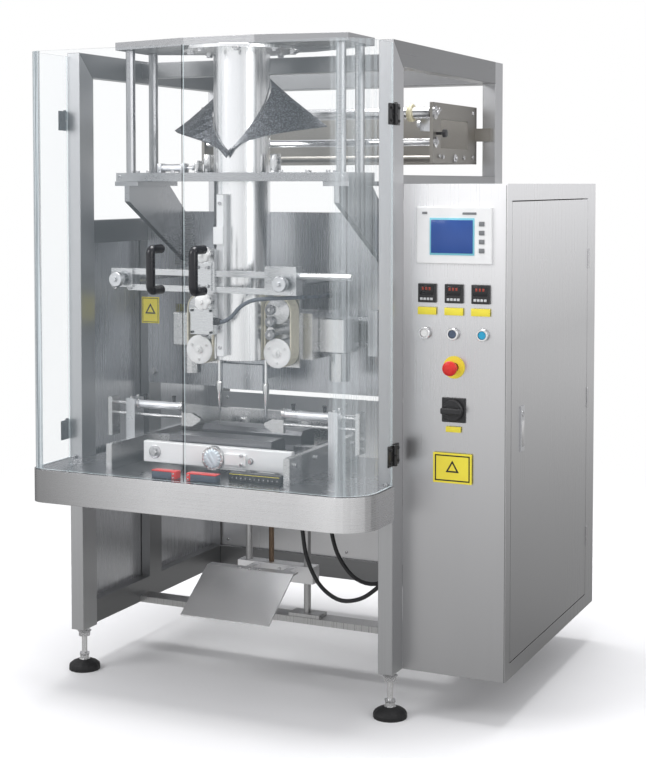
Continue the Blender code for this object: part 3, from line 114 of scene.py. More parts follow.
class Surface(Nodes):
    """A Principled material with helpers for its procedural detail."""

    def __init__(self, name, colour, metallic, roughness):
        self.material = bpy.data.materials.new(name)
        self.material.use_nodes = True
        super().__init__(self.material.node_tree)
        self.shader = self.nodes["Principled BSDF"]
        for socket, value in (("Base Color", (*colour, 1.0)), ("Metallic", metallic), ("Roughness", roughness)):
            self.join(value, self.shader.inputs[socket])
        self.coords = self.add("TexCoord").outputs["Object"]

    def noise(self, stretch, detail=3.0, roughness=0.55):
        """Noise with a frequency for each axis."""
        stretch = (stretch,) * 3 if isinstance(stretch, float) else stretch
        place = self.add("Mapping", {"Scale": stretch, "Vector": self.coords}).outputs[0]
        sockets = {"Scale": 1.0, "Detail": detail, "Roughness": roughness, "Vector": place}
        return self.add("TexNoise", sockets).outputs[0]

    def waves(self, scale, direction="Z"):
        """Even bands across one axis."""
        return self.add("TexWave", {"Scale": scale, "Vector": self.coords}, bands_direction=direction).outputs[1]

    def axis(self, name):
        """One object coordinate."""
        return self.add("SeparateXYZ", {0: self.coords}).outputs[name]

    def facing(self, name):
        """One component of the surface's own normal, unsigned."""
        normal = self.add("TexCoord").outputs["Normal"]
        return self.math("ABSOLUTE", self.add("SeparateXYZ", {0: normal}).outputs[name])

    def mix(self, share, first, second):
        """A mix of two colours, each a socket or three numbers."""
        node = self.add("Mix", {"Factor": share}, data_type="RGBA")
        for socket, value in ((node.inputs[6], first), (node.inputs[7], second)):
            self.join(value if hasattr(value, "is_output") else (*value, 1.0), socket)
        return node.outputs[2]

    def colour(self, share, first, second):
        """Base colour from a mix."""
        self.join(self.mix(share, first, second), self.shader.inputs["Base Color"])

    def plain(self):
        """The base colour so far."""
        return self.shader.inputs["Base Color"].links[0].from_socket

    def rough(self, value, low, high):
        """Roughness that follows a texture."""
        self.join(self.between(value, 0.25, 0.75, low, high), self.shader.inputs["Roughness"])

    def metal(self, value):
        """Metallic from a socket."""
        self.join(value, self.shader.inputs["Metallic"])

    def bump(self, height, strength, distance, soft_edge=0.0):
        """Relief from a texture, with an optional worn round edge."""
        sockets = {"Strength": strength, "Distance": distance, "Height": height}
        if soft_edge:
            sockets["Normal"] = self.add("Bevel", {"Radius": soft_edge}, samples=3).outputs[0]
        self.join(self.add("Bump", sockets).outputs[0], self.shader.inputs["Normal"])


# ---------------------------------------------------------------- camera and studio

CAMERA_AT = (2.024, -3.686, 1.429)
CAMERA_TURN = (87.27, 0.0, 24.996)
CAMERA_LENS = 72.3
CAMERA_SHIFT = -0.1618
DARK_SIDES = (((-0.88, 0.47, 0.0), 0.62, 5.0), ((0.93, 0.36, 0.0), 0.55, 9.0),     # direction, depth, narrowness
              ((0.62, -0.78, 0.0), 0.22, 12.0), ((0.32, 0.95, 0.0), 0.30, 7.0))
ROOM_STOPS = ((0.0, 1.05), (0.10, 0.95), (0.30, 0.72), (0.60, 0.80), (1.0, 0.90))  # height, brightness
FLOOR_REACH = 40.0
# painted glow of the floor as reflections see it, rising with distance: darker near the machine as painted shade
FLOOR_GLOW = (0.6, 9.0, 0.48, 0.98)
FLOOR_WHITE = (1.3, 3.4)
SOFT_BOXES = (("key", (-3.2, -4.2, 4.2), (0.0, 0.2, 0.9), 2.6, 2.6, 120),          # place, aim, size, power
              ("fill", (4.6, -2.6, 2.6), (0.2, 0.3, 0.8), 2.0, 3.0, 40),
              ("top", (0.1, 0.5, 4.8), (0.1, 0.3, 0.0), 2.6, 2.6, 210))


def link(name, data):
    """A new object in the scene."""
    obj = bpy.data.objects.new(name, data)
    bpy.context.scene.collection.objects.link(obj)
    return obj


def make_camera():
    """The camera, with the lens axis level with the machine's top third."""
    data = bpy.data.cameras.new("camera")
    data.lens, data.shift_y = CAMERA_LENS, CAMERA_SHIFT
    data.sensor_width, data.clip_end = 36.0, 100.0
    camera = link("camera", data)
    camera.location = here(*CAMERA_AT)
    camera.rotation_euler = [radians(angle) for angle in CAMERA_TURN]
    bpy.context.scene.camera = camera


def surround(tree, direction):
    """How bright the room is in a horizontal direction: darker to both sides of the viewer's line."""
    level = 1.0
    for side, depth, width in DARK_SIDES:
        dot = tree.add("VectorMath", {0: direction, 1: side}, operation="DOT_PRODUCT").outputs["Value"]
        power = tree.math("POWER", tree.math("MAXIMUM", dot, 0.0), width)
        level = tree.math("MULTIPLY_ADD", power, -depth, level)
    return level


def make_world():
    """A pale room, white where the camera looks straight at it."""
    world = bpy.data.worlds.new("studio")
    bpy.context.scene.world = world
    world.use_nodes = True
    tree = Nodes(world.node_tree)
    tree.nodes.clear()
    direction = tree.add("TexCoord").outputs["Generated"]
    ramp = tree.add("ValToRGB", {0: tree.add("SeparateXYZ", {0: direction}).outputs["Z"]})
    for place, _ in ROOM_STOPS[1:-1]:
        ramp.color_ramp.elements.new(place)
    for element, (place, level) in zip(ramp.color_ramp.elements, ROOM_STOPS):
        element.position = place
        element.color = (level, level, level * 1.02, 1.0)
    around = tree.add("Background", {"Color": ramp.outputs[0], "Strength": surround(tree, direction)})
    white = tree.add("Background", {"Color": (1.0, 1.0, 1.0, 1.0)})
    tree.add("OutputWorld", {0: tree.either(tree.straight_view(), around.outputs[0], white.outputs[0])})


def make_floor():
    """A pale floor that turns white further out; what reflections see of it is a painted glow, darker near the
    machine as painted shade.
    """
    mesh = bpy.data.meshes.new("floor")
    far = FLOOR_REACH
    mesh.from_pydata([(-far, -far, 0), (far, -far, 0), (far, far, 0), (-far, far, 0)], [], [(0, 1, 2, 3)])
    floor = link("floor", mesh)
    surface = Surface("studio_floor", (0.82, 0.82, 0.83), 0.0, 0.6)
    surface.colour(surface.noise(3.0), (0.80, 0.80, 0.81), (0.84, 0.84, 0.85))
    away = surface.add("VectorMath", {0: surface.coords}, operation="LENGTH").outputs["Value"]
    aim = surface.add("VectorMath", {0: surface.coords}, operation="NORMALIZE").outputs[0]
    # painted shade: the glow seen in reflections is dimmer near the machine
    near_floor_shade = surface.between(away, *FLOOR_GLOW, interpolation_type="SMOOTHSTEP")
    # painted light: reflections see an emitting floor, not a lit one
    reflected_glow = surface.add("Emission", {"Strength": surface.math("MULTIPLY", near_floor_shade, surround(surface, aim))})
    white = surface.add("Emission")
    outward = surface.either(surface.between(away, *FLOOR_WHITE), surface.shader.outputs[0], white.outputs[0])
    shown = surface.either(surface.straight_view(), reflected_glow.outputs[0], outward)
    surface.join(shown, surface.nodes["Material Output"].inputs[0])
    mesh.materials.append(surface.material)


def make_studio():
    """The room, the floor and the soft boxes."""
    make_world()
    make_floor()
    for name, place, aim, width, height, power in SOFT_BOXES:
        data = bpy.data.lights.new(name, "AREA")
        data.shape = "RECTANGLE"
        data.size, data.size_y, data.energy = width, height, power
        light = link(name, data)
        light.location = here(*place)
        light.rotation_mode = "QUATERNION"
        light.rotation_quaternion = (here(*aim) - here(*place)).to_track_quat("-Z", "Y")


# ---------------------------------------------------------------- materials

MITRE_LINE = 0.0011         # half width of a welded joint's line
POST_DEPTH, RAIL_HALF = 0.071, 0.041
GUARD_SPLIT = -0.0125
CABINET_COLOUR = (0.67, 0.67, 0.68)
SHEET_GRAIN, PLATE_GRAIN, EVEN_GRAIN = (460.0, 460.0, 2.5), (6.0, 420.0, 420.0), (300.0, 300.0, 300.0)


def shade(colour, factor):
    """A colour made lighter or darker."""
    return tuple(min(1.0, channel * factor) for channel in colour)


def steel(name, colour, roughness, grain, contrast=0.10, patch=2.2, metallic=1.0, relief=0.10):
    """Brushed metal: fine lines along one axis, broad uneven polish and softened edges."""
    surface = Surface(name, colour, metallic, roughness)
    lines = surface.noise(grain, 4.0, 0.65)
    broad = surface.noise((patch, patch, patch * 0.6), 2.0)
    fine = surface.mix(lines, shade(colour, 1 - contrast), shade(colour, 1 + contrast))
    surface.colour(0.42, fine, surface.mix(broad, shade(colour, 0.86), shade(colour, 1.08)))
    both = surface.math("ADD", surface.math("MULTIPLY", lines, 0.5), surface.math("MULTIPLY", broad, 0.5))
    surface.rough(both, roughness - 0.07, roughness + 0.09)
    surface.bump(lines, relief, 0.0002, 0.0010)
    return surface


def cabinet_steel():
    """The cabinet's sheet: the brushed look, with painted shade low down and a painted highlight band under its
    roof.
    """
    surface = steel("cabinet_steel", CABINET_COLOUR, 0.30, (480.0, 480.0, 2.5), 0.035, relief=0.035)
    height, top = surface.axis("Z"), CABINET_HIGH[2]
    # painted shade: the sheet darkens towards the bottom
    low_shade = surface.between(height, 0.15, 0.95, 0.75, 0.0)
    plain = surface.mix(low_shade, surface.plain(), shade(CABINET_COLOUR, 0.80))
    # painted highlight: a near-white band under the roof, with less metal so it reads as lit
    top_highlight = surface.between(height, top - 0.42, top - 0.02)
    surface.colour(top_highlight, plain, (0.98, 0.98, 0.99))
    surface.metal(surface.between(top_highlight, 0.0, 1.0, 1.0, 0.40))
    return surface


def frame_steel(name, along):
    """Welded tube: the grain runs up the posts and along the rails, with a mitre at the top front corner and painted
    shade on the rails.
    """
    colour = (0.56, 0.565, 0.575)
    surface = Surface(name, colour, 1.0, 0.34)
    math = surface.math
    upright = surface.noise((520.0, 520.0, 3.0), 4.0, 0.65)
    level = surface.noise((520.0, 3.0, 520.0) if along == "Y" else (3.0, 520.0, 520.0), 4.0, 0.65)
    place = surface.axis(along)
    if along == "Y":
        front = math("LESS_THAN", place, FRAME_LOW[1] + POST_DEPTH)
        down = math("SUBTRACT", FRAME_HIGH[2], surface.axis("Z"))
        into = math("SUBTRACT", place, FRAME_LOW[1])
        post = math("MULTIPLY", front, math("GREATER_THAN", down, into))
        gap = math("ABSOLUTE", math("SUBTRACT", down, into))
        seam = math("MULTIPLY", front, math("LESS_THAN", gap, MITRE_LINE))
    else:
        low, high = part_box("rear_frame")
        half = (high[0] - low[0]) / 2 - RAIL_HALF
        away = math("ABSOLUTE", math("SUBTRACT", place, DATUM[0]))
        post = math("GREATER_THAN", away, half)
        seam = math("LESS_THAN", math("ABSOLUTE", math("SUBTRACT", away, half)), MITRE_LINE)
    lines = surface.mix(post, level, upright)
    broad = surface.noise((2.0, 2.0, 1.2), 2.0)
    bright = surface.mix(lines, shade(colour, 0.90), shade(colour, 1.12))
    # painted shade: the rails are the posts' steel at about half the brightness
    rail_shade = surface.mix(lines, shade(colour, 0.42), shade(colour, 0.54))
    fine = surface.mix(math("MULTIPLY", broad, 0.35), surface.mix(post, rail_shade, bright), shade(colour, 0.7))
    surface.colour(seam, fine, shade(colour, 0.22))
    surface.rough(lines, 0.27, 0.40)
    surface.bump(lines, 0.07, 0.0002, 0.0035)
    return surface


def chrome(name, colour, roughness, grain):
    """Polished tube with faint drawn lines."""
    surface = Surface(name, colour, 1.0, roughness)
    lines = surface.noise(grain, 2.0)
    surface.colour(lines, shade(colour, 0.92), shade(colour, 1.04))
    surface.rough(lines, roughness * 0.6, roughness * 1.6)
    surface.bump(lines, 0.05, 0.0001)
    return surface


def moulded(name, colour, roughness=0.4, grain=900.0, relief=0.12):
    """Moulded plastic or rubber with a fine eroded grain."""
    surface = Surface(name, colour, 0.0, roughness)
    pores = surface.noise(grain, 2.0)
    surface.colour(surface.noise(14.0, 2.0), shade(colour, 0.85), shade(colour, 1.15))
    surface.rough(pores, roughness - 0.06, roughness + 0.12)
    surface.bump(pores, relief, 0.0002, 0.0006)
    return surface


def clear_sheet():
    """Clear plastic sheet: it shows at its cut edges, in its bent corner seen edge-on, where it carries painted
    reflection streaks, and as a faint gloss; the left door's front edge carries painted shade.
    """
    surface = Surface("clear_sheet", (0.80, 0.92, 0.95), 0.0, 0.03)
    math, between, mix = surface.math, surface.between, surface.mix
    low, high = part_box("guard_door_left")
    turn = surface.add("LayerWeight", {"Blend": 0.30}).outputs["Facing"]
    along_x, along_y = surface.facing("X"), surface.facing("Y")
    lid = math("GREATER_THAN", surface.facing("Z"), 0.5)
    front = math("LESS_THAN", surface.axis("Y"), low[1] + 0.006)
    rear = math("GREATER_THAN", surface.axis("Y"), high[1] - 0.004)
    split = math("MULTIPLY", math("GREATER_THAN", along_x, 0.7), front)
    bend = math("GREATER_THAN", math("MINIMUM", along_x, along_y), 0.04)
    left_half = math("LESS_THAN", surface.axis("X"), DATUM[0] + GUARD_SPLIT)
    # painted reflections: vertical streaks for the bent corners
    reflection_streaks = surface.noise((240.0, 240.0, 1.2), 3.0)
    cut_edge = math("MAXIMUM", lid, split)
    # painted shade: the left door's front cut edge is coloured near black
    shaded_edge = math("MULTIPLY", split, left_half)
    veil = between(surface.noise((1.5, 1.5, 0.8), 2.0), 0.3, 0.7, 0.03, 0.07)
    weight = math("MAXIMUM", between(turn, 0.45, 0.85), between(left_half, 0.0, 1.0, 0.45, 0.90))
    # painted reflection: pale streaks in the right door's bend
    pale_reflection = between(surface.noise((150.0, 150.0, 0.7), 2.0), 0.42, 0.62, 0.04, 0.50)
    strength = mix(left_half, pale_reflection, between(reflection_streaks, 0.38, 0.60, 0.30, 0.92))
    dense = math("MULTIPLY", math("MULTIPLY", bend, weight), strength)
    rim = math("MAXIMUM", math("MULTIPLY", cut_edge, 0.80), math("MULTIPLY", rear, 0.30))
    surface.join(math("MAXIMUM", math("ADD", veil, dense), rim, clamp=True), surface.shader.inputs["Alpha"])
    # painted reflections: dark and pale bands in the left door's bend
    reflection_bands = mix(between(reflection_streaks, 0.42, 0.58), (0.08, 0.10, 0.12), (0.70, 0.78, 0.82))
    tint_and_reflection = mix(left_half, (0.82, 0.90, 0.94), reflection_bands)
    sheet = mix(math("MAXIMUM", bend, shaded_edge), (0.72, 0.84, 0.92), tint_and_reflection)
    edge = mix(shaded_edge, (0.80, 0.92, 0.95), (0.02, 0.03, 0.04))
    surface.colour(math("MAXIMUM", cut_edge, rear), sheet, edge)
    return surface


def embossed_sheet():
    """Dark stainless sheet with a small raised pattern that lets film slide."""
    colour = (0.26, 0.27, 0.29)
    surface = Surface("embossed_sheet", colour, 1.0, 0.40)
    cells = surface.add("TexVoronoi", {"Scale": 210.0, "Vector": surface.coords})
    dots = surface.between(cells.outputs["Distance"], 0.1, 0.6)
    # painted light and shade: lighter on the raised dots, darker on the sunk ground between them
    surface.colour(dots, shade(colour, 1.5), shade(colour, 0.55))
    surface.rough(surface.noise(30.0), 0.32, 0.50)
    surface.bump(dots, -0.5, 0.0006)
    return surface


def belt_rubber():
    """Cream friction belt with close cross ribs."""
    colour = (0.80, 0.75, 0.60)
    surface = Surface("belt_cream", colour, 0.0, 0.6)
    dust = surface.noise(60.0)
    surface.colour(dust, shade(colour, 0.78), shade(colour, 1.1))
    surface.rough(dust, 0.5, 0.7)
    surface.bump(surface.waves(95.0), 0.3, 0.0008)
    return surface


def ribbed_conduit():
    """Grey corrugated conduit, with painted shade in its grooves and painted light on its crests."""
    colour = (0.10, 0.115, 0.14)
    surface = Surface("conduit_grey", colour, 0.0, 0.45)
    ribs = surface.waves(70.0, "X")
    # painted shade: darker in the grooves, lighter on the crests, following the ribs
    surface.colour(ribs, shade(colour, 0.6), shade(colour, 1.5))
    surface.rough(surface.noise(80.0), 0.4, 0.55)
    surface.bump(ribs, 0.5, 0.0008)
    return surface


def table_steel():
    """The table: a brushed apron with painted shade towards its left end, a painted highlight near its right corner
    and slight painted shade on that corner, and a dark glossy working surface.
    """
    colour = (0.70, 0.70, 0.71)
    low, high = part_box("front_table")
    surface = Surface("table_steel", colour, 1.0, 0.30)
    place = surface.axis("X")
    lines = surface.noise((4.0, 4.0, 620.0), 4.0, 0.65)
    scuffs = surface.noise(26.0)
    top = surface.math("GREATER_THAN", surface.axis("Z"), high[2] - 0.0006)
    # painted shade: the apron darkens towards its left end
    left_shade = surface.between(place, low[0] + 0.05, low[0] + 0.42)
    brushed = surface.mix(left_shade, shade(colour, 0.50), surface.mix(lines, shade(colour, 1.10), shade(colour, 1.30)))
    # painted highlight: a near-white band near the right corner
    glint = surface.between(place, high[0] - 0.20, high[0] - 0.11)
    brushed = surface.mix(glint, brushed, (0.97, 0.97, 0.98))
    # painted shade on the turn of the right corner
    corner = surface.between(place, high[0] - 0.055, high[0] - 0.012)
    brushed = surface.mix(corner, brushed, shade(colour, 0.95))
    worn = surface.mix(scuffs, (0.20, 0.20, 0.21), (0.34, 0.34, 0.35))
    surface.colour(top, brushed, worn)
    level = surface.math("ADD", surface.math("MULTIPLY", lines, 0.7), surface.math("MULTIPLY", scuffs, 0.3))
    surface.rough(level, 0.20, 0.36)
    surface.bump(lines, 0.08, 0.0002, 0.002)
    return surface


def foot_surface():
    """Levelling foot: black rubber base, bright stem and nut above it."""
    surface = Surface("foot", (0.02, 0.02, 0.02), 0.0, 0.5)
    bright = surface.math("GREATER_THAN", surface.axis("Z"), 0.0305)
    surface.colour(bright, (0.006, 0.006, 0.007), (0.72, 0.72, 0.72))
    surface.metal(bright)
    rough = surface.math("SUBTRACT", 0.55, surface.math("MULTIPLY", bright, 0.33))
    pores = surface.math("MULTIPLY", surface.noise(500.0), 0.08)
    surface.join(surface.math("ADD", rough, pores), surface.shader.inputs["Roughness"])
    surface.bump(surface.waves(170.0), 0.25, 0.0006)
    return surface


def front_jaw_surface():
    """The front jaw: dark steel, with its cross bar ground bright."""
    surface = steel("front_jaw_steel", *JAW_STEEL)
    ground = surface.mix(surface.noise((5.0, 300.0, 300.0)), (0.90, 0.91, 0.92), (0.99, 0.99, 0.99))
    bar = surface.math("LESS_THAN", surface.axis("Y"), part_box("jaw_front")[0][1] + 0.0325)
    surface.colour(bar, surface.plain(), ground)
    surface.metal(surface.between(bar, 0.0, 1.0, 1.0, 0.35))
    return surface


def chute_stand_surface():
    """Beam and rods of ground steel, with a brown greased screw between them."""
    colour = (0.55, 0.55, 0.55)
    surface = Surface("chute_stand_steel", colour, 1.0, 0.3)
    off_screw = surface.math("ABSOLUTE", surface.math("SUBTRACT", surface.axis("X"), DATUM[0] - 0.022))
    above = surface.math("GREATER_THAN", surface.axis("Z"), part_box("chute_stand")[0][2] + 0.0185)
    screw = surface.math("MULTIPLY", surface.math("LESS_THAN", off_screw, 0.0095), above)
    lines = surface.noise((500.0, 500.0, 8.0))
    surface.colour(screw, surface.mix(lines, shade(colour, 0.85), shade(colour, 1.15)), (0.24, 0.17, 0.12))
    surface.rough(lines, 0.24, 0.38)
    surface.bump(surface.math("MULTIPLY", surface.waves(110.0), screw), 0.6, 0.0012)
    return surface


JAW_STEEL = ((0.20, 0.20, 0.21), 0.34, (8.0, 300.0, 300.0), 0.12, 9.0)
STEELS = {      # look: name, colour, roughness, grain, contrast, patch, metallic, relief
    "panel": ("panel_steel", (0.62, 0.63, 0.65), 0.26, SHEET_GRAIN, 0.05, 3.2, 1.0, 0.05),
    "low_panel": ("low_panel_steel", (0.86, 0.86, 0.87), 0.30, SHEET_GRAIN, 0.05, 3.2, 1.0, 0.05),
    "back": ("back_plate_steel", (0.50, 0.51, 0.53), 0.26, SHEET_GRAIN, 0.05, 3.2, 1.0, 0.05),
    "chute": ("chute_steel", (0.92, 0.92, 0.93), 0.36, PLATE_GRAIN, 0.03, 3.0, 1.0, 0.03),
    "plate": ("plate_steel", (0.43, 0.435, 0.445), 0.27, PLATE_GRAIN, 0.04, 3.0, 1.0, 0.04),
    "machined": ("machined_steel", (0.66, 0.66, 0.66), 0.24, (260.0, 260.0, 260.0), 0.08, 8.0),
    "bright": ("bright_bar", (0.66, 0.67, 0.68), 0.26, (5.0, 420.0, 420.0), 0.05, 8.0, 1.0, 0.05),
    "white": ("white_bar", (0.88, 0.89, 0.90), 0.34, (6.0, 400.0, 400.0), 0.05, 8.0, 0.35),
    "jaw": ("jaw_steel", *JAW_STEEL),
    "rack": ("rack_steel", (0.34, 0.325, 0.30), 0.42, (300.0, 8.0, 300.0), 0.15, 7.0),
    "aluminium": ("aluminium", (0.72, 0.73, 0.75), 0.30, EVEN_GRAIN, 0.05, 12.0),
    "seam": ("weld_seam", (0.16, 0.16, 0.165), 0.50, (400.0, 400.0, 400.0), 0.2, 60.0),
    "pale_blue": ("cover_steel", (0.72, 0.80, 0.86), 0.30, (60.0, 60.0, 60.0), 0.03, 12.0, 0.5, 0.03),
    "idler": ("idler_steel", (0.30, 0.30, 0.31), 0.28, (260.0, 260.0, 260.0), 0.1, 10.0),
}
CHROMES = {     # look: name, colour, roughness, grain
    "tube": ("forming_tube_steel", (0.97, 0.975, 0.98), 0.20, (300.0, 300.0, 1.5)),
    "roller": ("roller_chrome", (0.78, 0.78, 0.79), 0.12, (4.0, 300.0, 300.0)),
    "screw": ("screw_steel", (0.62, 0.62, 0.63), 0.22, (500.0, 500.0, 500.0)),
}
PLASTICS = {    # look: name, colour, roughness, grain, relief
    "hose": ("hose_black", (0.018, 0.018, 0.020), 0.38, 600.0, 0.08),
    "black": ("black_plastic", (0.022, 0.022, 0.024), 0.36),
    "handle": ("handle_black", (0.012, 0.013, 0.017), 0.16, 400.0, 0.02),
    "grey": ("grey_plastic", (0.20, 0.21, 0.22), 0.45),
    "bezel": ("bezel_plastic", (0.95, 0.96, 0.97), 0.38, 1200.0, 0.06),
    "cyan": ("screen_border", (0.22, 0.62, 0.74), 0.35, 1200.0, 0.04),
    "ink": ("dark_print", (0.012, 0.012, 0.014), 0.5, 900.0, 0.03),
    "yellow": ("yellow_plastic", (0.98, 0.78, 0.06), 0.42, 900.0, 0.06),
    "red": ("red_plastic", (0.70, 0.025, 0.02), 0.28, 900.0, 0.05),
    "button_white": ("white_cap", (0.88, 0.88, 0.87), 0.28, 900.0, 0.04),
    "button_dark": ("dark_cap", (0.07, 0.10, 0.16), 0.28, 900.0, 0.04),
    "button_blue": ("blue_cap", (0.02, 0.36, 0.60), 0.28, 900.0, 0.04),
    "grey_blue": ("switch_housing", (0.055, 0.075, 0.11), 0.40, 700.0, 0.05),
    "blue": ("blue_fitting", (0.03, 0.16, 0.42), 0.35, 900.0, 0.05),
    "cream": ("cream_plastic", (0.74, 0.68, 0.48), 0.45, 700.0, 0.06),
    "display": ("display_glass", (0.020, 0.070, 0.28), 0.15, 40.0, 0.01),
    "gloss_black": ("gloss_black", (0.012, 0.012, 0.014), 0.12, 200.0, 0.01),
    "figure_red": ("figure_red", (0.35, 0.05, 0.03), 0.35, 900.0, 0.02),
    "pale_key": ("pale_key", (0.62, 0.63, 0.64), 0.4, 900.0, 0.04),
}
NODE_LOOKS = {
    "side_frame": "left_side_frame right_side_frame",
    "rear_frame": "rear_frame",
    "cabinet": "control_cabinet cabinet_door",
    "panel": "left_side_panel",
    "low_panel": "rear_lower_panel",
    "back": "back_plate",
    "chute": "bag_chute",
    "front_jaw": "jaw_front",
    "plate": "top_plate mid_plate_stand bracket_left bracket_right",
    "machined": "jaw_frame belt_unit_left belt_unit_right gusset_blade_left gusset_blade_right",
    "bright": "sealer_arm",
    "white": "vertical_sealer",
    "jaw": "jaw_rear",
    "rack": "film_rack",
    "aluminium": "cabinet_door_latch belt_pulley_left belt_pulley_right gusset_cylinder_left gusset_cylinder_right",
    "roller": "guide_roller_top guide_roller_lower film_roll_shaft dancer_arm",
    "clear": "guard_door_left guard_door_right",
    "embossed": "forming_collar",
    "belt": "belt_left belt_right",
    "black": "temperature_controller_1 temperature_controller_2 temperature_controller_3 main_switch_plate "
             "main_switch_knob",
    "bezel": "touch_screen",
    "yellow": "emergency_stop_plate",
    "red": "emergency_stop_button",
    "button_white": "push_button_white",
    "button_dark": "push_button_dark",
    "button_blue": "push_button_blue",
    "table": "front_table",
    "foot": "levelling_foot_front_left levelling_foot_front_right levelling_foot_rear_left "
            "levelling_foot_rear_right",
    "chute_stand": "chute_stand",
}


def make_materials():
    """Every material by the name of its look."""
    looks = {
        "side_frame": frame_steel("side_frame_steel", "Y"),
        "rear_frame": frame_steel("rear_frame_steel", "X"),
        "cabinet": cabinet_steel(),
        "front_jaw": front_jaw_surface(),
        "clear": clear_sheet(),
        "embossed": embossed_sheet(),
        "belt": belt_rubber(),
        "conduit": ribbed_conduit(),
        "table": table_steel(),
        "foot": foot_surface(),
        "chute_stand": chute_stand_surface(),
    }
    for maker, table in ((steel, STEELS), (chrome, CHROMES), (moulded, PLASTICS)):
        looks.update({look: maker(*row) for look, row in table.items()})
    lit = looks["display"]
    lit.join((0.03, 0.08, 0.30, 1.0), lit.shader.inputs["Emission Color"])
    lit.join(0.15, lit.shader.inputs["Emission Strength"])
    return looks


LOOKS = make_materials()


def dress_nodes():
    """Give each CAD node its material."""
    for look, names in NODE_LOOKS.items():
        for name in names.split():
            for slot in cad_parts[name].material_slots:
                slot.link = "OBJECT"
                slot.material = LOOKS[look].material


# ---------------------------------------------------------------- shapes for the small fittings


def add_piece(name, data, look, body, slot, node):
    """Finished geometry as a piece that rides on a body, and may stand for a CAD node."""
    data.materials.append(LOOKS[look].material)
    obj = link(name, data)
    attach(obj, body)
    if node:
        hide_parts(node)
    return obj


def add_line(name, points, radius, resolution, look, body, node):
    """A round bar or hose along a line of points, in place of a CAD node."""
    curve = bpy.data.curves.new(name, "CURVE")
    curve.dimensions = "3D"
    curve.bevel_depth, curve.bevel_resolution, curve.use_fill_caps = radius, resolution, True
    spline = curve.splines.new("POLY")
    spline.points.add(len(points) - 1)
    for point, place in zip(spline.points, points):
        point.co = (*place, 1.0)
    spline.use_smooth = True
    return add_piece(name, curve, look, body, None, node)


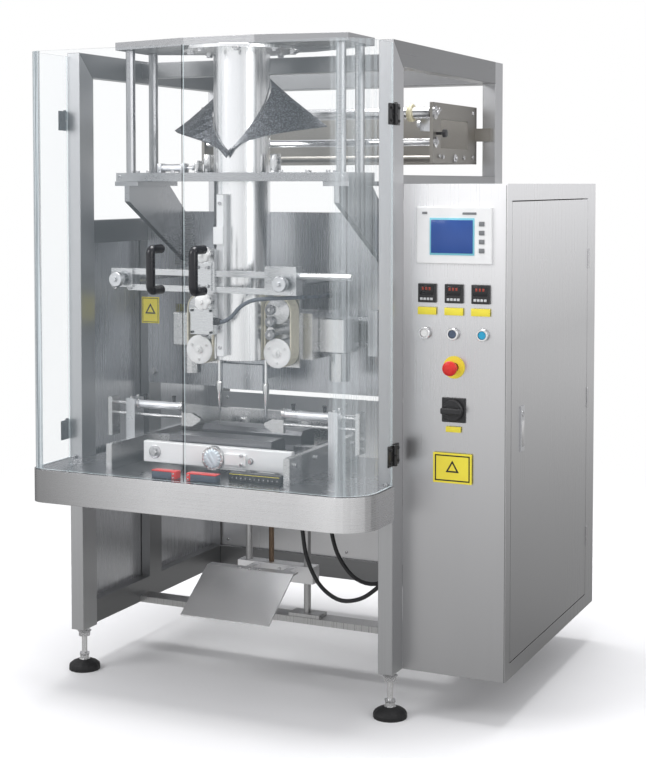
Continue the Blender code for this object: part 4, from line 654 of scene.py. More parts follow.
class Shape:
    """Solids gathered into one mesh for a piece. A place given as a tuple is measured as in here()."""

    made = []

    def __init__(self, name, look, body=MACHINE, slot=None, angle=35.0, node=None):
        self.bm = bmesh.new()
        self.name, self.angle, self.facts = name, angle, (look, body, slot, node)
        Shape.made.append(self)

    def finish(self):
        """Make the piece."""
        mesh = bpy.data.meshes.new(self.name)
        bmesh.ops.recalc_face_normals(self.bm, faces=self.bm.faces)
        self.bm.to_mesh(mesh)
        self.bm.free()
        mesh.shade_smooth()
        mesh.set_sharp_from_angle(angle=radians(self.angle))
        add_piece(self.name, mesh, *self.facts)

    def take(self, part, place=None, axis=None):
        """Add the solids of another mesh, turned from Z to an axis and moved to a place, and free it."""
        if axis:
            turn = Vector(axis).to_track_quat("Z", "Y").to_matrix().to_4x4()
            bmesh.ops.transform(part, matrix=Matrix.Translation(located(place)) @ turn, verts=part.verts)
        bmesh.ops.recalc_face_normals(part, faces=part.faces)
        mesh = bpy.data.meshes.new("part")
        part.to_mesh(mesh)
        part.free()
        self.bm.from_mesh(mesh)
        bpy.data.meshes.remove(mesh)

    def box(self, low, high, bevel=0.0):
        """A box between two points, with edges eased."""
        low, high = located(low), located(high)
        part = bmesh.new()
        bmesh.ops.create_cube(part, size=1.0)
        bmesh.ops.scale(part, vec=[abs(span) for span in high - low], verts=part.verts)
        bmesh.ops.translate(part, vec=(low + high) / 2, verts=part.verts)
        if bevel:
            bmesh.ops.bevel(part, geom=part.edges[:], offset=bevel, segments=2, affect="EDGES", profile=0.5)
        self.take(part)

    def skin(self, part, rings):
        """Faces between neighbouring rings of vertices."""
        for lower, upper in zip(rings, rings[1:]):
            for i in range(len(lower)):
                j = (i + 1) % len(lower)
                corners = list(dict.fromkeys((lower[i], lower[j], upper[j], upper[i])))
                if len(corners) > 2:
                    part.faces.new(corners)

    def lathe(self, profile, centre, axis, sides=24):
        """A (radius, height) outline from axis to axis, turned about an axis."""
        part = bmesh.new()
        turns = [tau * i / sides for i in range(sides)]
        rings = [[part.verts.new((radius * cos(turn), radius * sin(turn), height)) for turn in turns] if radius
                 else [part.verts.new((0.0, 0.0, height))] * sides for radius, height in profile]
        self.skin(part, rings)
        self.take(part, centre, axis)

    def rod(self, start, end, radius, sides=20):
        """A round bar with eased ends."""
        start, end = located(start), located(end)
        length = (end - start).length
        ease = min(radius * 0.12, length * 0.2)
        self.lathe([(0, 0), (radius - ease, 0), (radius, ease), (radius, length - ease), (radius - ease, length),
                    (0, length)], start, end - start, sides)

    def ring(self, centre, axis, inner, outer, depth, sides=32):
        """A flat ring with eased edges."""
        ease = min(0.15 * depth, 0.0008)
        self.lathe([(inner, 0), (outer - ease, 0), (outer, ease), (outer, depth - ease), (outer - ease, depth),
                    (inner, depth), (inner, 0)], centre, axis, sides)

    def hex_bolts(self, places, axis, size):
        """Hexagon heads of a given width over their corners, on washers."""
        radius, foot, edge, top = size / 2, size * 0.10, size * 0.36, size * 0.42
        for place in places:
            self.lathe([(0, 0), (radius * 1.25, 0), (radius * 1.25, foot), (radius, size * 0.11)], place, axis, 20)
            self.lathe([(radius, foot), (radius, edge), (radius * 0.88, top), (0, top)], place, axis, 6)

    def cap_screws(self, places, axis, size):
        """Socket cap screws with a recess in their heads."""
        radius, top, recess = size / 2, size * 0.55, size * 0.25
        for place in places:
            self.lathe([(0, 0), (radius, 0), (radius, size * 0.48), (radius * 0.9, top), (radius * 0.55, top),
                        (radius * 0.50, recess), (0, recess)], place, axis, 16)

    def star(self, centre, axis, radius, depth, lobes):
        """A lobed hand knob with a domed front."""
        part = bmesh.new()
        turns = [tau * i / (lobes * 8) for i in range(lobes * 8)]
        rings = []
        for reach, height in ((0.80, 0.0), (0.97, 0.15), (1.0, 0.5), (0.93, 0.85), (0.72, 1.0)):
            spread = [radius * reach * (1.0 - 0.13 * (0.5 - 0.5 * cos(lobes * turn)) ** 2) for turn in turns]
            rings.append([part.verts.new((r * cos(turn), r * sin(turn), depth * height))
                          for r, turn in zip(spread, turns)])
        self.skin(part, rings)
        part.faces.new(list(reversed(rings[0])))
        part.faces.new(rings[-1])
        self.take(part, centre, axis)

    def plate(self, outline, place, depth):
        """An upright (across, up) outline, given thickness towards the front."""
        part = bmesh.new()
        face = part.faces.new([part.verts.new(place + X * a + Z * b) for a, b in outline])
        moved = bmesh.ops.extrude_face_region(part, geom=[face])["geom"]
        moved = [vert for vert in moved if isinstance(vert, bmesh.types.BMVert)]
        bmesh.ops.translate(part, vec=-Y * depth, verts=moved)
        self.take(part)


def around(x, z, radius, count, offset):
    """The (x, z) places of a bolt circle."""
    turns = [tau * (k + offset) / count for k in range(count)]
    return [(x + radius * cos(turn), z + radius * sin(turn)) for turn in turns]


# ---------------------------------------------------------------- cords

ROUTE_STEP = 2.5
SPAN_STEPS = 12
HOSE_FRONT_ROUTE = ((0.127, 0.235, 0.5447), (0.127, 0.235, 0.500), (0.131, 0.234, 0.430),
                    (0.148, 0.230, 0.350), (0.190, 0.224, 0.280), (0.255, 0.217, 0.245),
                    (0.325, 0.212, 0.258), (0.385, 0.209, 0.303), (0.435, 0.207, 0.352),
                    (0.474, 0.206, 0.372), (0.5070, 0.206, 0.374))
HOSE_REAR_ROUTE = ((0.214, 0.235, 0.5447), (0.214, 0.235, 0.510), (0.219, 0.236, 0.450),
                   (0.240, 0.240, 0.370), (0.285, 0.247, 0.309), (0.340, 0.254, 0.291),
                   (0.395, 0.259, 0.312), (0.440, 0.261, 0.350), (0.474, 0.262, 0.364),
                   (0.5070, 0.262, 0.366))
CONDUIT_ROUTE = ((-0.0114, -0.020, 1.050), (0.012, -0.020, 1.050), (0.038, -0.021, 1.064),
                 (0.064, -0.022, 1.091), (0.096, -0.021, 1.109), (0.132, -0.016, 1.116),
                 (0.172, 0.006, 1.118), (0.202, 0.050, 1.118), (0.212, 0.110, 1.116),
                 (0.208, 0.180, 1.112), (0.188, 0.245, 1.108), (0.166, 0.300, 1.105),
                 (0.160, 0.330, 1.104), (0.160, 0.3657, 1.104))
CORDS = (("air_hose_front", HOSE_FRONT_ROUTE, 0.012, 0.65, "hose"),     # node, route, diameter, length, look
         ("air_hose_rear", HOSE_REAR_ROUTE, 0.012, 0.50, "hose"),
         ("sealer_conduit", CONDUIT_ROUTE, 0.011, 0.59, "conduit"))


def smooth_route(route, spacing):
    """Evenly spaced points on one smooth curve through a route."""
    ends = [2 * Vector(route[0]) - Vector(route[1])] + [Vector(p) for p in route]
    ends.append(2 * ends[-1] - ends[-2])
    fine = []
    for a, b, c, d in zip(ends, ends[1:], ends[2:], ends[3:]):
        for i in range(SPAN_STEPS):
            t = i / SPAN_STEPS
            fine.append(0.5 * (2 * b + (c - a) * t + (2 * a - 5 * b + 4 * c - d) * t ** 2
                               + (3 * b - a - 3 * c + d) * t ** 3))
    fine.append(ends[-2])
    reach = [0.0]
    for a, b in zip(fine, fine[1:]):
        reach.append(reach[-1] + (b - a).length)
    count = max(2, round(reach[-1] / spacing))
    points, k = [], 0
    for i in range(count + 1):
        goal = reach[-1] * i / count
        while k < len(fine) - 2 and reach[k + 1] < goal:
            k += 1
        points.append(fine[k].lerp(fine[k + 1], (goal - reach[k]) / (reach[k + 1] - reach[k])))
    return points


def make_cords():
    """The two air hoses and the sealer's conduit, each drawn along its route between its fittings."""
    for node, route, diameter, length, look in CORDS:
        points = [here(*point) for point in smooth_route(route, ROUTE_STEP * diameter / 2)]
        line = add_line(node + "_line", points, diameter / 2, 4, look, MACHINE, node)


# ---------------------------------------------------------------- small fittings, each group on its body

DOOR_HINGE_LEVELS = (0.715, 1.61)
ROLLER_LEVELS = (1.008, 1.044, 1.078)
KNOB_LEVELS = (1.106, 1.236)
TABLE_TOP = 0.6322


def door_fittings():
    """Lift hinges of the guard doors, and glossy D-shaped handles in place of the plain ones."""
    bend = 0.013
    for side, name in SIDES:
        body = f"guard_{name}"
        fixed = Shape(f"door_hinge_{name}_fixed", "black")
        moving = Shape(f"door_hinge_{name}_moving", "black", body)
        for level in DOOR_HINGE_LEVELS:
            low, high, screws = level - 0.028, level + 0.028, (level - 0.017, level + 0.017)
            fixed.box((side * 0.5082, 0.003, low), (side * 0.5125, 0.036, high), 0.0012)
            moving.box((side * 0.5092, -0.04, low), (side * 0.5135, -0.009, high), 0.0012)
            for leaf, start, end, radius in ((fixed, 0.001, 0.028, 0.0065), (moving, -0.028, -0.0005, 0.0065),
                                             (fixed, 0.028, 0.031, 0.0045)):
                leaf.rod((side * 0.516, -0.003, level + start), (side * 0.516, -0.003, level + end), radius)
            fixed.cap_screws(grid(side * 0.5123, 0.023, screws), X * side, 0.0085)
            moving.cap_screws(grid(side * 0.5133, -0.028, screws), X * side, 0.0085)
        low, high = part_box(f"door_handle_{name}")
        x, radius = (low[0] + high[0]) / 2, (high[0] - low[0]) / 2 * 1.22
        out, face = low[1] + radius - 0.006, high[1]
        bottom, top = low[2] + radius - 0.007, high[2] - radius + 0.007
        path = [(x, face, top)]
        for middle, start in ((top - bend, 90), (bottom + bend, 180)):
            turns = [radians(start + 9 * k) for k in range(11)]
            path += [(x, out + bend + bend * cos(turn), middle + bend * sin(turn)) for turn in turns]
        path.append((x, face, bottom))
        add_line(f"door_handle_{name}_grip", path, radius, 8, "handle", body, f"door_handle_{name}")
        feet = Shape(f"door_handle_feet_{name}", "handle", body)
        for level in (bottom, top):
            feet.lathe([(0, 0), (0.0122, 0), (0.0122, 0.002), (0.0114, 0.0035), (0, 0.0035)],
                       Vector((x, face - 0.0002, level)), -Y, 32)


def forming_tube():
    """The round tube with its flange and two tapered spreader fingers, in place of the coarse one."""
    shape = Shape("forming_tube_round", "tube", angle=30, node="forming_tube")
    tip, top = TUBE_LOW[2], TUBE_HIGH[2]
    centre = Vector((DATUM[0], (TUBE_LOW[1] + TUBE_HIGH[1]) / 2, 0.0))
    flange, under = (TUBE_HIGH[0] - TUBE_LOW[0]) / 2, top - 0.01
    shape.lathe([(0.0775, top), (0.0775, 0.935), (0.0788, 0.9348), (0.0799, 0.936), (0.0799, under),
                 (flange - 0.001, under), (flange, under + 0.001), (flange, top - 0.001), (flange - 0.001, top),
                 (0.0775, top)], centre, Z, 112)
    finger = ((0.0005, 0), (0.0016, 0.002), (0.0072, 0.098), (0.0092, 0.104), (0.0094, 0.126), (0.008, 0.1275),
              (0.008, 0.13), (0.0045, 0.131))
    for side, _ in SIDES:
        shape.lathe([(radius, tip + rise) for radius, rise in finger] + [(0.0045, 0.975), (0, 0.976)],
                    centre + X * 0.0745 * side, Z)


def patch(shape, node, left, bottom, right, top, proud, sunk, bevel):
    """A raised patch on a panel part's front, placed by shares of its width and height."""
    low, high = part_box(node)
    wide, tall, front = high[0] - low[0], high[2] - low[2], low[1]
    shape.box(Vector((low[0] + left * wide, front - proud, low[2] + bottom * tall)),
              Vector((low[0] + right * wide, front + sunk, low[2] + top * tall)), bevel)


def panel_detail():
    """The screen's border, display and unmarked keys, the controllers' faces, plain tags and button bezels."""
    keys, screen = Shape("screen_keys", "grey"), "touch_screen"
    patch(Shape("screen_border", "cyan"), screen, 0.185, 0.155, 0.775, 0.805, 0.0016, 0.002, 0.0005)
    patch(Shape("screen_display", "display"), screen, 0.205, 0.19, 0.755, 0.77, 0.0032, 0.002, 0.0006)
    for k in range(4):
        patch(keys, screen, 0.835, 0.20 + 0.155 * k, 0.905, 0.28 + 0.155 * k, 0.0022, 0.002, 0.0005)
    patch(keys, screen, 0.085, 0.87, 0.15, 0.91, 0.0022, 0.002, 0.0004)
    patch(keys, screen, 0.62, 0.865, 0.8, 0.905, 0.002, 0.002, 0.0004)
    glass, digits = Shape("controller_windows", "gloss_black"), Shape("controller_figures", "figure_red")
    marks, tags = Shape("controller_keys", "pale_key"), Shape("panel_tags", "yellow")
    rings = Shape("button_bezels", "roller", angle=30)
    face = CABINET_LOW[1]
    tagged = [("main_switch_plate", 0.021, 0.026, 0.011)]
    for number in (1, 2, 3):
        node = f"temperature_controller_{number}"
        tagged.append((node, 0.026, 0.032, 0.012))
        patch(glass, node, 0.12, 0.42, 0.88, 0.9, 0.001, 0.001, 0.0006)
        for k in range(3):
            patch(digits, node, 0.24 + 0.19 * k, 0.66, 0.35 + 0.19 * k, 0.82, 0.0014, 0, 0.0003)
        for k in range(4):
            patch(marks, node, 0.14 + 0.19 * k, 0.13, 0.28 + 0.19 * k, 0.26, 0.0018, 0, 0.0004)
    for node, half, drop, rise in tagged:
        low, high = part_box(node)
        middle = (low[0] + high[0]) / 2
        tags.box(Vector((middle - half, face - 0.0008, low[2] - drop)),
                 Vector((middle + half, face + 0.001, low[2] - rise)), 0.0003)
    for colour in ("white", "dark", "blue"):
        low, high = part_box(f"push_button_{colour}")
        centre, radius = (low + high) / 2, (high[0] - low[0]) / 2
        rings.ring(Vector((centre[0], face + 0.0004, centre[2])), -Y, radius + 0.0006, radius + 0.0052, 0.0075)


def warning_plate(name, x, face, z, wide, tall):
    """A plain yellow plate with a dark border and an empty triangle."""
    plate, ink = Shape(name, "yellow"), Shape(name + "_border", "ink")
    corner = Vector((here(x, 0, z)[0], face, z))
    plate.plate([(0, 0), (wide, 0), (wide, tall), (0, tall)], corner, 0.001)
    front = corner - Y * 0.001
    line, inset = 0.03 * wide, 0.05 * wide
    right, top = wide - inset, tall - inset
    for a, b, c, d in ((inset, inset, right, inset + line), (inset, top - line, right, top),
                       (inset, inset, inset + line, top), (right - line, inset, right, top)):
        ink.plate([(a, b), (c, b), (c, d), (a, d)], front, 0.0004)
    size, middle, base = 0.4 * tall, wide / 2, 0.36 * tall
    outer = [(middle - 0.58 * size, base), (middle + 0.58 * size, base), (middle, base + size)]
    rise = base + size / 3
    inner = [(middle + (a - middle) * 0.62, rise + (b - rise) * 0.62) for a, b in outer]
    for k, j in ((0, 1), (1, 2), (2, 0)):
        ink.plate([outer[k], outer[j], inner[j], inner[k]], front, 0.0004)


def cabinet_detail():
    """Hinge knuckles, the latch's inset and lock, and the dark line down the cabinet's front corner."""
    knuckles, seam = Shape("cabinet_hinge_knuckles", "screw"), Shape("cabinet_corner_line", "seam")
    inset = Shape("cabinet_latch_inset", "roller", "door_latch")
    lock = Shape("cabinet_latch_lock", "screw", "door_latch")
    hinge = here(0.7975, 0.8595, 0)
    low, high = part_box("cabinet_door")
    for level in (low[2] + 0.18, (low[2] + high[2]) / 2, high[2] - 0.18):
        knuckles.rod(hinge + Z * (level - 0.03), hinge + Z * (level + 0.03), 0.0032)
    low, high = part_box("cabinet_door_latch")
    inset.box(low + Vector((0.001, 0.006, 0.012)), high + Vector((0.0006, -0.006, -0.04)), 0.0005)
    lock.ring(Vector((high[0] - 0.0002, (low[1] + high[1]) / 2, high[2] - 0.022)), X, 0.004, 0.009, 0.0012, 24)
    side, front = CABINET_HIGH[0], CABINET_LOW[1]
    seam.box(Vector((side - 0.0019, front - 0.0002, CABINET_LOW[2] + 0.002)),
             Vector((side - 0.0007, front + 0.0006, CABINET_HIGH[2] - 0.004)))


def cabinet_inside():
    """The mounting plate behind the cabinet's door, with wiring ducts, rails and rows of devices."""
    plate = Shape("cabinet_mounting_plate", "back")
    ducts = Shape("cabinet_wiring_ducts", "grey", slot="black_plastic")
    dark, light = Shape("cabinet_devices_dark", "black"), Shape("cabinet_devices_light", "bezel")
    rails = Shape("cabinet_rails", "screw")

    def row(shape, y, z, wide, tall, deep, bevel=0.002, count=1, pitch=0.0):
        """Devices side by side on the plate, by the first one's lower front corner."""
        for k in range(count):
            front = y + pitch * k
            shape.box((0.53, front, z), (0.53 + deep, front + wide, z + tall), bevel)

    row(plate, 0.135, 0.19, 0.7, 1.17, 0.003, 0.0008)
    row(ducts, 0.15, 0.205, 0.04, 1.14, 0.06, 0.002, 2, 0.63)
    for level in (0.205, 0.52, 0.83, 1.305):
        row(ducts, 0.192, level, 0.586, 0.04, 0.06)
    for level in (0.375, 0.685, 1.08):
        row(rails, 0.2, level, 0.57, 0.035, 0.009, 0.0008)
        row(ducts, 0.2, level + 0.112, 0.01, 0.008, 0.018, 0.0008, 24, 0.024)
    row(light, 0.215, 1.055, 0.0178, 0.085, 0.06, 0.002, 12, 0.0185)
    row(dark, 0.2195, 1.088, 0.009, 0.018, 0.072, 0.001, 12, 0.0185)
    row(dark, 0.47, 1.05, 0.047, 0.09, 0.085, 0.002, 5, 0.055)
    row(light, 0.476, 1.12, 0.035, 0.014, 0.088, 0.001, 5, 0.055)
    row(dark, 0.215, 0.6, 0.105, 0.185, 0.13, 0.004, 3, 0.125)
    row(light, 0.23, 0.72, 0.075, 0.045, 0.133, 0.002, 3, 0.125)
    row(light, 0.6, 0.62, 0.12, 0.14, 0.11, 0.004)
    for k in range(26):
        row(light if k % 5 else dark, 0.215 + 0.02 * k, 0.36, 0.012, 0.07, 0.048, 0.001)


def plain_bolts():
    """Bolts of the top and mid plates, back plate, brackets, panels, jaws, table and chute."""
    for name, places, axis, size in (
            ("flange_nuts", [(x, y, TUBE_HIGH[2] - 0.01) for x, y in around(0, 0.115, 0.145, 8, 0.5)], -Z, 0.02),
            ("column_nuts", grid((-0.332, 0.332), (0.06, 0.185), 1.436), -Z, 0.02),
            ("back_plate_bolts", grid((-0.447, 0.447), 0.366, 1.036) + grid((-0.445, 0.445), 0.366, 0.846)
             + grid((-0.44, 0.44), 0.366, 1.31), -Y, 0.02),
            ("bracket_bolts", grid((-0.3295, 0.3295), (0.085, 0.16), 1.436), -Z, 0.016)):
        Shape(name, "screw").hex_bolts(places, axis, size)
    Shape("chute_bolts", "screw", "chute").hex_bolts(grid((-0.03, 0.0, 0.03), 0.155, 0.3205), Z, 0.012)
    Shape("jaw_rear_nuts", "screw", "rear_jaw").hex_bolts(grid((-0.1, 0.1), 0.249, 0.712), Y, 0.024)
    low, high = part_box("rear_lower_panel")
    mid = grid((-0.25, -0.17, 0.17, 0.25), (0.02, 0.2), 1.46) + grid((-0.3, 0.3), 0.045, 1.46)
    for name, places, axis, size in (
            ("mid_plate_screws", mid, Z, 0.012),
            ("mid_plate_edge_screws", grid((-0.35, 0.35), 0.0315, 1.448), -Y, 0.01),
            ("table_screws", grid((-0.4905, 0.4905), -0.006, TABLE_TOP), Z, 0.012),
            ("rear_panel_screws", [Vector((x, low[1], z)) for z in (low[2] + 0.02, high[2] - 0.02)
                                   for x in (low[0] + 0.025, (low[0] + high[0]) / 2, high[0] - 0.025)], -Y, 0.01)):
        Shape(name, "screw").cap_screws(places, axis, size)


def collar_fittings():
    """The small air cylinder and the brackets beside the forming collar's foot."""
    barrel, bracket = Shape("collar_cylinder", "aluminium", angle=30), Shape("collar_brackets", "machined")
    barrel.rod((-0.226, 0.06, 1.474), (-0.16, 0.06, 1.474), 0.0105, 28)
    for low, high in ((-0.238, -0.224), (-0.162, -0.148)):
        barrel.box((low, 0.0475, 1.4603), (high, 0.0725, 1.4865), 0.0012)
    barrel.rod((-0.15, 0.06, 1.474), (-0.112, 0.06, 1.474), 0.0042)
    barrel.lathe([(0.0043, 0), (0.0085, 0), (0.0085, 0.006), (0.0043, 0.006)], (-0.128, 0.06, 1.474), X, 6)
    bracket.box((-0.114, 0.044, 1.4603), (-0.104, 0.076, 1.494), 0.001)
    for side, _ in SIDES:
        bracket.box((side * 0.096, 0.1, 1.4603), (side * 0.116, 0.13, 1.512), 0.0015)
        bracket.hex_bolts([(side * 0.1155, 0.115, 1.492)], X * side, 0.014)


def sealer_fittings():
    """Lobed knobs, end nuts, screws and springs of the back sealer and its arm."""
    knobs = Shape("sealer_knobs", "button_white", "back_sealer", "white_bar", 40)
    springs = Shape("sealer_springs", "screw", "back_sealer")
    arm, stars = Shape("sealer_arm_screws", "screw"), Shape("sealer_arm_knobs", "aluminium", angle=40)
    bar, box = Shape("vertical_sealer_screws", "screw", "back_sealer"), Shape("terminal_box_screws", "black")
    gland = Shape("conduit_glands", "black")
    for level in KNOB_LEVELS:
        knobs.star((-0.031, -0.0495, level), -Y, 0.024, 0.017, 7)
        for k in range(6):
            springs.ring((-0.031, -0.046 + 0.0052 * k, level), Y, 0.0066, 0.0098, 0.0022, 20)
    knobs.hex_bolts(grid(-0.031, -0.067, KNOB_LEVELS), -Y, 0.013)
    arm.cap_screws(grid((-0.338, -0.292, 0.152, 0.222), -0.0135, (1.136, 1.182)), -Y, 0.012)
    arm.cap_screws(grid((-0.067, -0.036), -0.0245, (1.146, 1.198)), -Y, 0.01)
    for x in (-0.315, 0.2):
        stars.lathe([(0, 0), (0.0205, 0), (0.0215, 0.001), (0.0215, 0.013), (0.0195, 0.016), (0, 0.016)],
                    (x, -0.0395, 1.16), -Y, 32)
        stars.hex_bolts([(x, -0.056, 1.16)], -Y, 0.012)
    bar.cap_screws(grid(-0.011, 0.0045, (0.975, 1.03, 1.16, 1.3, 1.375)), -Y, 0.01)
    box.cap_screws(grid((-0.077, -0.018), -0.0365, (1.02, 1.08)), -Y, 0.007)
    for place, axis in (((-0.0118, -0.02, 1.05), X), ((0.16, 0.366, 1.104), -Y)):
        gland.lathe([(0.006, 0), (0.0105, 0), (0.0105, 0.007), (0.0088, 0.008), (0.0075, 0.016), (0.0058, 0.016)],
                    place, axis, 12)


def belt_fittings():
    """Front discs of the driven pulleys, and the pressure rollers of the belt drives."""
    for side, name in SIDES:
        disc = Shape(f"belt_pulley_disc_{name}", "button_white", f"pulley_{name}", angle=30)
        rollers = Shape(f"belt_pressure_rollers_{name}", "idler", f"belt_carriage_{name}", angle=30)
        centres = Shape(f"belt_roller_bolts_{name}", "screw", f"belt_carriage_{name}")
        disc.lathe([(0, 0), (0.041, 0), (0.0415, 0.0012), (0.0415, 0.0034), (0.0385, 0.0048), (0.02, 0.0048),
                    (0.018, 0.0038), (0.011, 0.0038), (0.0105, 0.01), (0.0095, 0.011), (0, 0.011)],
                   (side * 0.124, 0.0892, 0.957), -Y, 48)
        disc.cap_screws([(x, 0.0845, z) for x, z in around(side * 0.124, 0.957, 0.027, 3, 0.25)], -Y, 0.007)
        disc.hex_bolts([(side * 0.124, 0.0785, 0.957)], -Y, 0.011)
        for level in ROLLER_LEVELS:
            rollers.lathe([(0, 0), (0.014, 0), (0.0145, 0.001), (0.0145, 0.01), (0.0125, 0.012), (0.008, 0.012),
                           (0.0075, 0.01), (0, 0.01)], (side * 0.104, 0.0892, level), -Y, 32)
        centres.hex_bolts(grid(side * 0.104, 0.0795, ROLLER_LEVELS), -Y, 0.011)


def jaw_fittings():
    """Bolts, cover and teeth of the sealing jaws, and screws of their frame."""
    front, teeth = Shape("jaw_front_bolts", "screw", "front_jaw"), Shape("jaw_front_teeth", "jaw", "front_jaw")
    rim = Shape("jaw_front_cover_rim", "machined", "front_jaw", "aluminium", 30)
    cover, sides = Shape("jaw_front_cover", "pale_blue", "front_jaw", angle=30), Shape("jaw_frame_screws", "screw")
    front.lathe([(0, 0), (0.0185, 0), (0.0185, 0.002), (0.016, 0.003), (0, 0.003)], (-0.19, -0.0502, 0.68), -Y, 32)
    front.hex_bolts([(-0.19, -0.053, 0.68)], -Y, 0.02)
    front.hex_bolts([(0.112, -0.0502, 0.676)], -Y, 0.015)
    front.cap_screws(grid(0.088, -0.058, (0.665, 0.69)), -Y, 0.01)
    rim.ring((0, -0.0485, 0.677), -Y, 0.017, 0.0335, 0.014, 48)
    rim.cap_screws([(x, -0.062, z) for x, z in around(0, 0.677, 0.03, 8, 0.5)], -Y, 0.007)
    cover.star((0, -0.0485, 0.677), -Y, 0.029, 0.019, 16)
    for k in range(7):
        level = 0.678 + 0.0065 * k
        teeth.box((-0.155, 0.0648, level), (0.155, 0.0668, level + 0.0026), 0.0006)
    for side, x in ((-1, -0.306), (1, 0.264)):
        sides.cap_screws(grid(x, (-0.09, 0.04, 0.16, 0.29), 0.684), X * side, 0.012)


def gusset_fittings():
    """Nuts, air fittings and screws of the two gusset pushers."""
    for side, name in SIDES:
        shape = Shape(f"gusset_fittings_{name}", "machined", slot="aluminium", angle=32)
        push = Shape(f"gusset_air_fittings_{name}", "black")
        shape.rod((side * 0.312, 0.055, 0.795), (side * 0.342, 0.055, 0.795), 0.015)
        for reach in (0.158, 0.304):
            shape.ring((side * reach, 0.055, 0.795), X * side, 0.0128, 0.015, 0.01, 28)
        shape.cap_screws(grid(side * 0.321, (0.038, 0.072), 0.8125), Z, 0.009)
        shape.cap_screws(grid(side * 0.3985, 0.055, (0.714, 0.74)), X * side, 0.01)
        for reach in (0.19, 0.285):
            push.rod((side * reach, 0.055, 0.807), (side * reach, 0.055, 0.82), 0.005)
            push.ring((side * reach, 0.055, 0.819), Z, 0.003, 0.0062, 0.005, 18)


def rack_fittings():
    """Bearing caps, clamp block and hand knob of the film rollers."""
    shape, block = Shape("film_rack_fittings", "screw"), Shape("film_rack_clamp", "aluminium", angle=30)
    disc, knob = Shape("roller_cream_disc", "cream", "roller_top"), Shape("film_rack_knob", "black", angle=40)
    for y, z, radius in ((0.455, 1.635, 0.02), (0.458, 1.55, 0.016), (0.62, 1.505, 0.013)):
        shape.lathe([(0, 0), (radius, 0), (radius, 0.004), (radius * 0.8, 0.006), (0, 0.006)], (0.4502, y, z), X)
        shape.hex_bolts([(0.456, y, z)], X, radius * 0.8)
    shape.cap_screws(grid(0.4502, (0.485, 0.775), (1.51, 1.645)), X, 0.012)
    shape.hex_bolts(grid(0.4502, (0.52, 0.7), 1.508), X, 0.012)
    disc.lathe([(0.0172, 0), (0.0255, 0), (0.0262, 0.001), (0.0262, 0.0125), (0.025, 0.014), (0.0172, 0.014)],
               (0.37, 0.455, 1.635), X, 40)
    block.box((0.386, 0.5, 1.583), (0.4398, 0.532, 1.624), 0.0025)
    block.ring((0.386, 0.516, 1.604), -X, 0.006, 0.0115, 0.012, 28)
    block.cap_screws(grid(0.412, (0.507, 0.525), 1.624), Z, 0.007)
    knob.rod((0.4502, 0.47, 1.575), (0.47, 0.47, 1.575), 0.0045)
    knob.star((0.47, 0.47, 1.575), X, 0.013, 0.012, 6)


def lower_fittings():
    """Hose unions and the pressure gauge under the table."""
    unions, gauge = Shape("hose_unions", "screw"), Shape("pressure_gauge", "blue", angle=30)
    dial = Shape("pressure_gauge_dial", "button_white", slot="screen_bezel")
    needle = Shape("pressure_gauge_needle", "ink")
    for x in (0.127, 0.214):
        unions.rod((x, 0.235, 0.53), (x, 0.235, 0.5455), 0.0095, 6)
        unions.ring((x, 0.235, 0.522), Z, 0.0062, 0.0085, 0.009, 24)
    for y, z in ((0.206, 0.374), (0.262, 0.366)):
        unions.rod((0.4925, y, z), (0.5082, y, z), 0.0098, 6)
    centre = here(-0.022, 0.212, 0.5)
    gauge.lathe([(0, 0), (0.0185, 0), (0.0195, 0.002), (0.0195, 0.013), (0.018, 0.015), (0.0165, 0.0145),
                 (0.016, 0.012), (0, 0.012)], centre, -Y, 36)
    gauge.rod(centre + Vector((0, 0.002, 0.01)), centre + Vector((0, 0.002, 0.052)), 0.0048)
    dial.lathe([(0, 0), (0.0158, 0), (0.0158, 0.0006), (0, 0.0006)], centre - Y * 0.0121, -Y, 36)
    face, half = centre - Y * 0.0128, Vector((0.0005, 0.0003, 0.0005))
    needle.plate([(-0.0008, -0.003), (0.0008, -0.003), (0.0075, 0.0095), (0.0062, 0.01)], face, 0.0005)
    for turn in range(-30, 211, 30):
        tick = face + X * 0.0135 * cos(radians(turn)) + Z * 0.0135 * sin(radians(turn))
        needle.box(tick - half, tick + half)


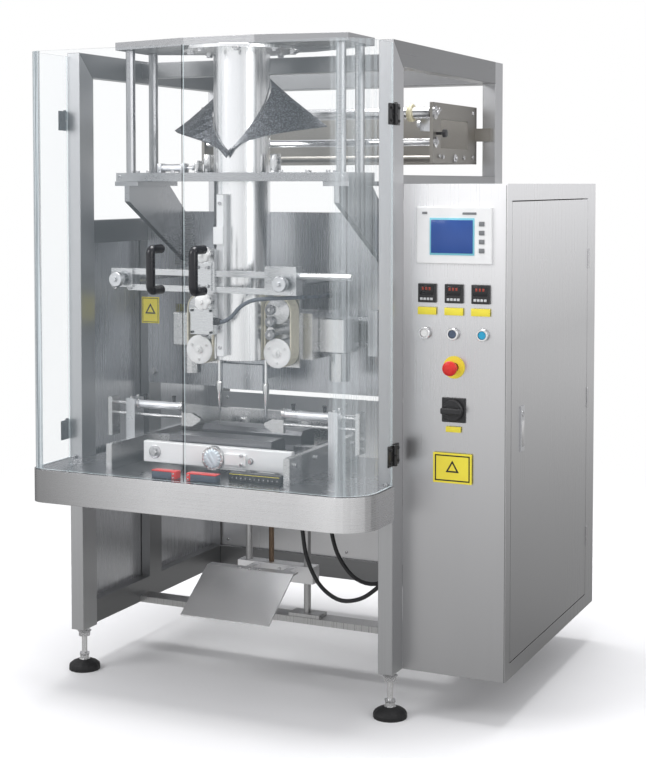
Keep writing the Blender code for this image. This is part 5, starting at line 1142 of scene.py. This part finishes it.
def table_fittings():
    """Door switches and terminal strip on the table."""
    top = TABLE_TOP
    switches, red = Shape("door_switches", "grey_blue"), Shape("door_switch_caps", "red")
    ends, mark = Shape("door_switch_screws", "screw"), Shape("terminal_strip_mark", "yellow")
    strip, dots = Shape("terminal_strip", "black"), Shape("terminal_strip_screws", "screw")
    for low, high, end in ((-0.131, -0.056, -0.068), (-0.022, 0.067, -0.022)):
        switches.box((low, -0.166, top), (high, -0.138, top + 0.0185), 0.002)
        red.box((low, -0.1655, top + 0.0186), (high, -0.1385, top + 0.0215), 0.0008)
        red.box((end - 0.0002, -0.1665, top), (end + 0.0122, -0.1375, top + 0.0216), 0.0015)
        ends.cap_screws(grid(end + 0.006, -0.1664, (top + 0.005, top + 0.016)), -Y, 0.005)
    strip.box((0.077, -0.112, top), (0.232, -0.088, top + 0.022), 0.002)
    for k in range(11):
        x = 0.089 + 0.0135 * k
        strip.box((x - 0.0035, -0.1135, top + 0.004), (x + 0.0035, -0.111, top + 0.013), 0.0008)
        dots.rod((x, -0.1133, top + 0.0085), (x, -0.1148, top + 0.0085), 0.0018, 12)
    mark.box((0.079, -0.1126, top + 0.0175), (0.23, -0.1117, top + 0.0187), 0.0003)


def foot_nuts():
    """Hexagon lock nuts and plates where the levelling feet enter the frame."""
    shape = Shape("foot_lock_nuts", "screw", angle=30)
    for x, y in product((-0.4875, 0.4875), (0.0355, 0.8645)):
        shape.lathe([(0.0148, 0), (0.0185, 0.0015), (0.0185, 0.0125), (0.0148, 0.014)], (x, y, 0.0982), Z, 6)
        shape.ring((x, y, 0.1125), Z, 0.015, 0.02, 0.0022, 28)
        shape.lathe([(0.0082, 0), (0.015, 0), (0.016, 0.002), (0.016, 0.007), (0.0082, 0.009)], (x, y, 0.0415), Z, 6)


make_camera()
make_cords()
dress_nodes()
make_studio()
door_fittings()
forming_tube()
panel_detail()
warning_plate("cabinet_sign", 0.597, CABINET_LOW[1], 0.64, 0.108, 0.08)
warning_plate("back_plate_sign", -0.385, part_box("back_plate")[0][1], 1.014, 0.06, 0.078)
cabinet_detail()
cabinet_inside()
plain_bolts()
collar_fittings()
sealer_fittings()
belt_fittings()
jaw_fittings()
gusset_fittings()
rack_fittings()
lower_fittings()
table_fittings()
foot_nuts()
for shape in Shape.made:
    shape.finish()

view = bpy.context.scene.view_settings
view.view_transform = "Standard"
view.look = "None"
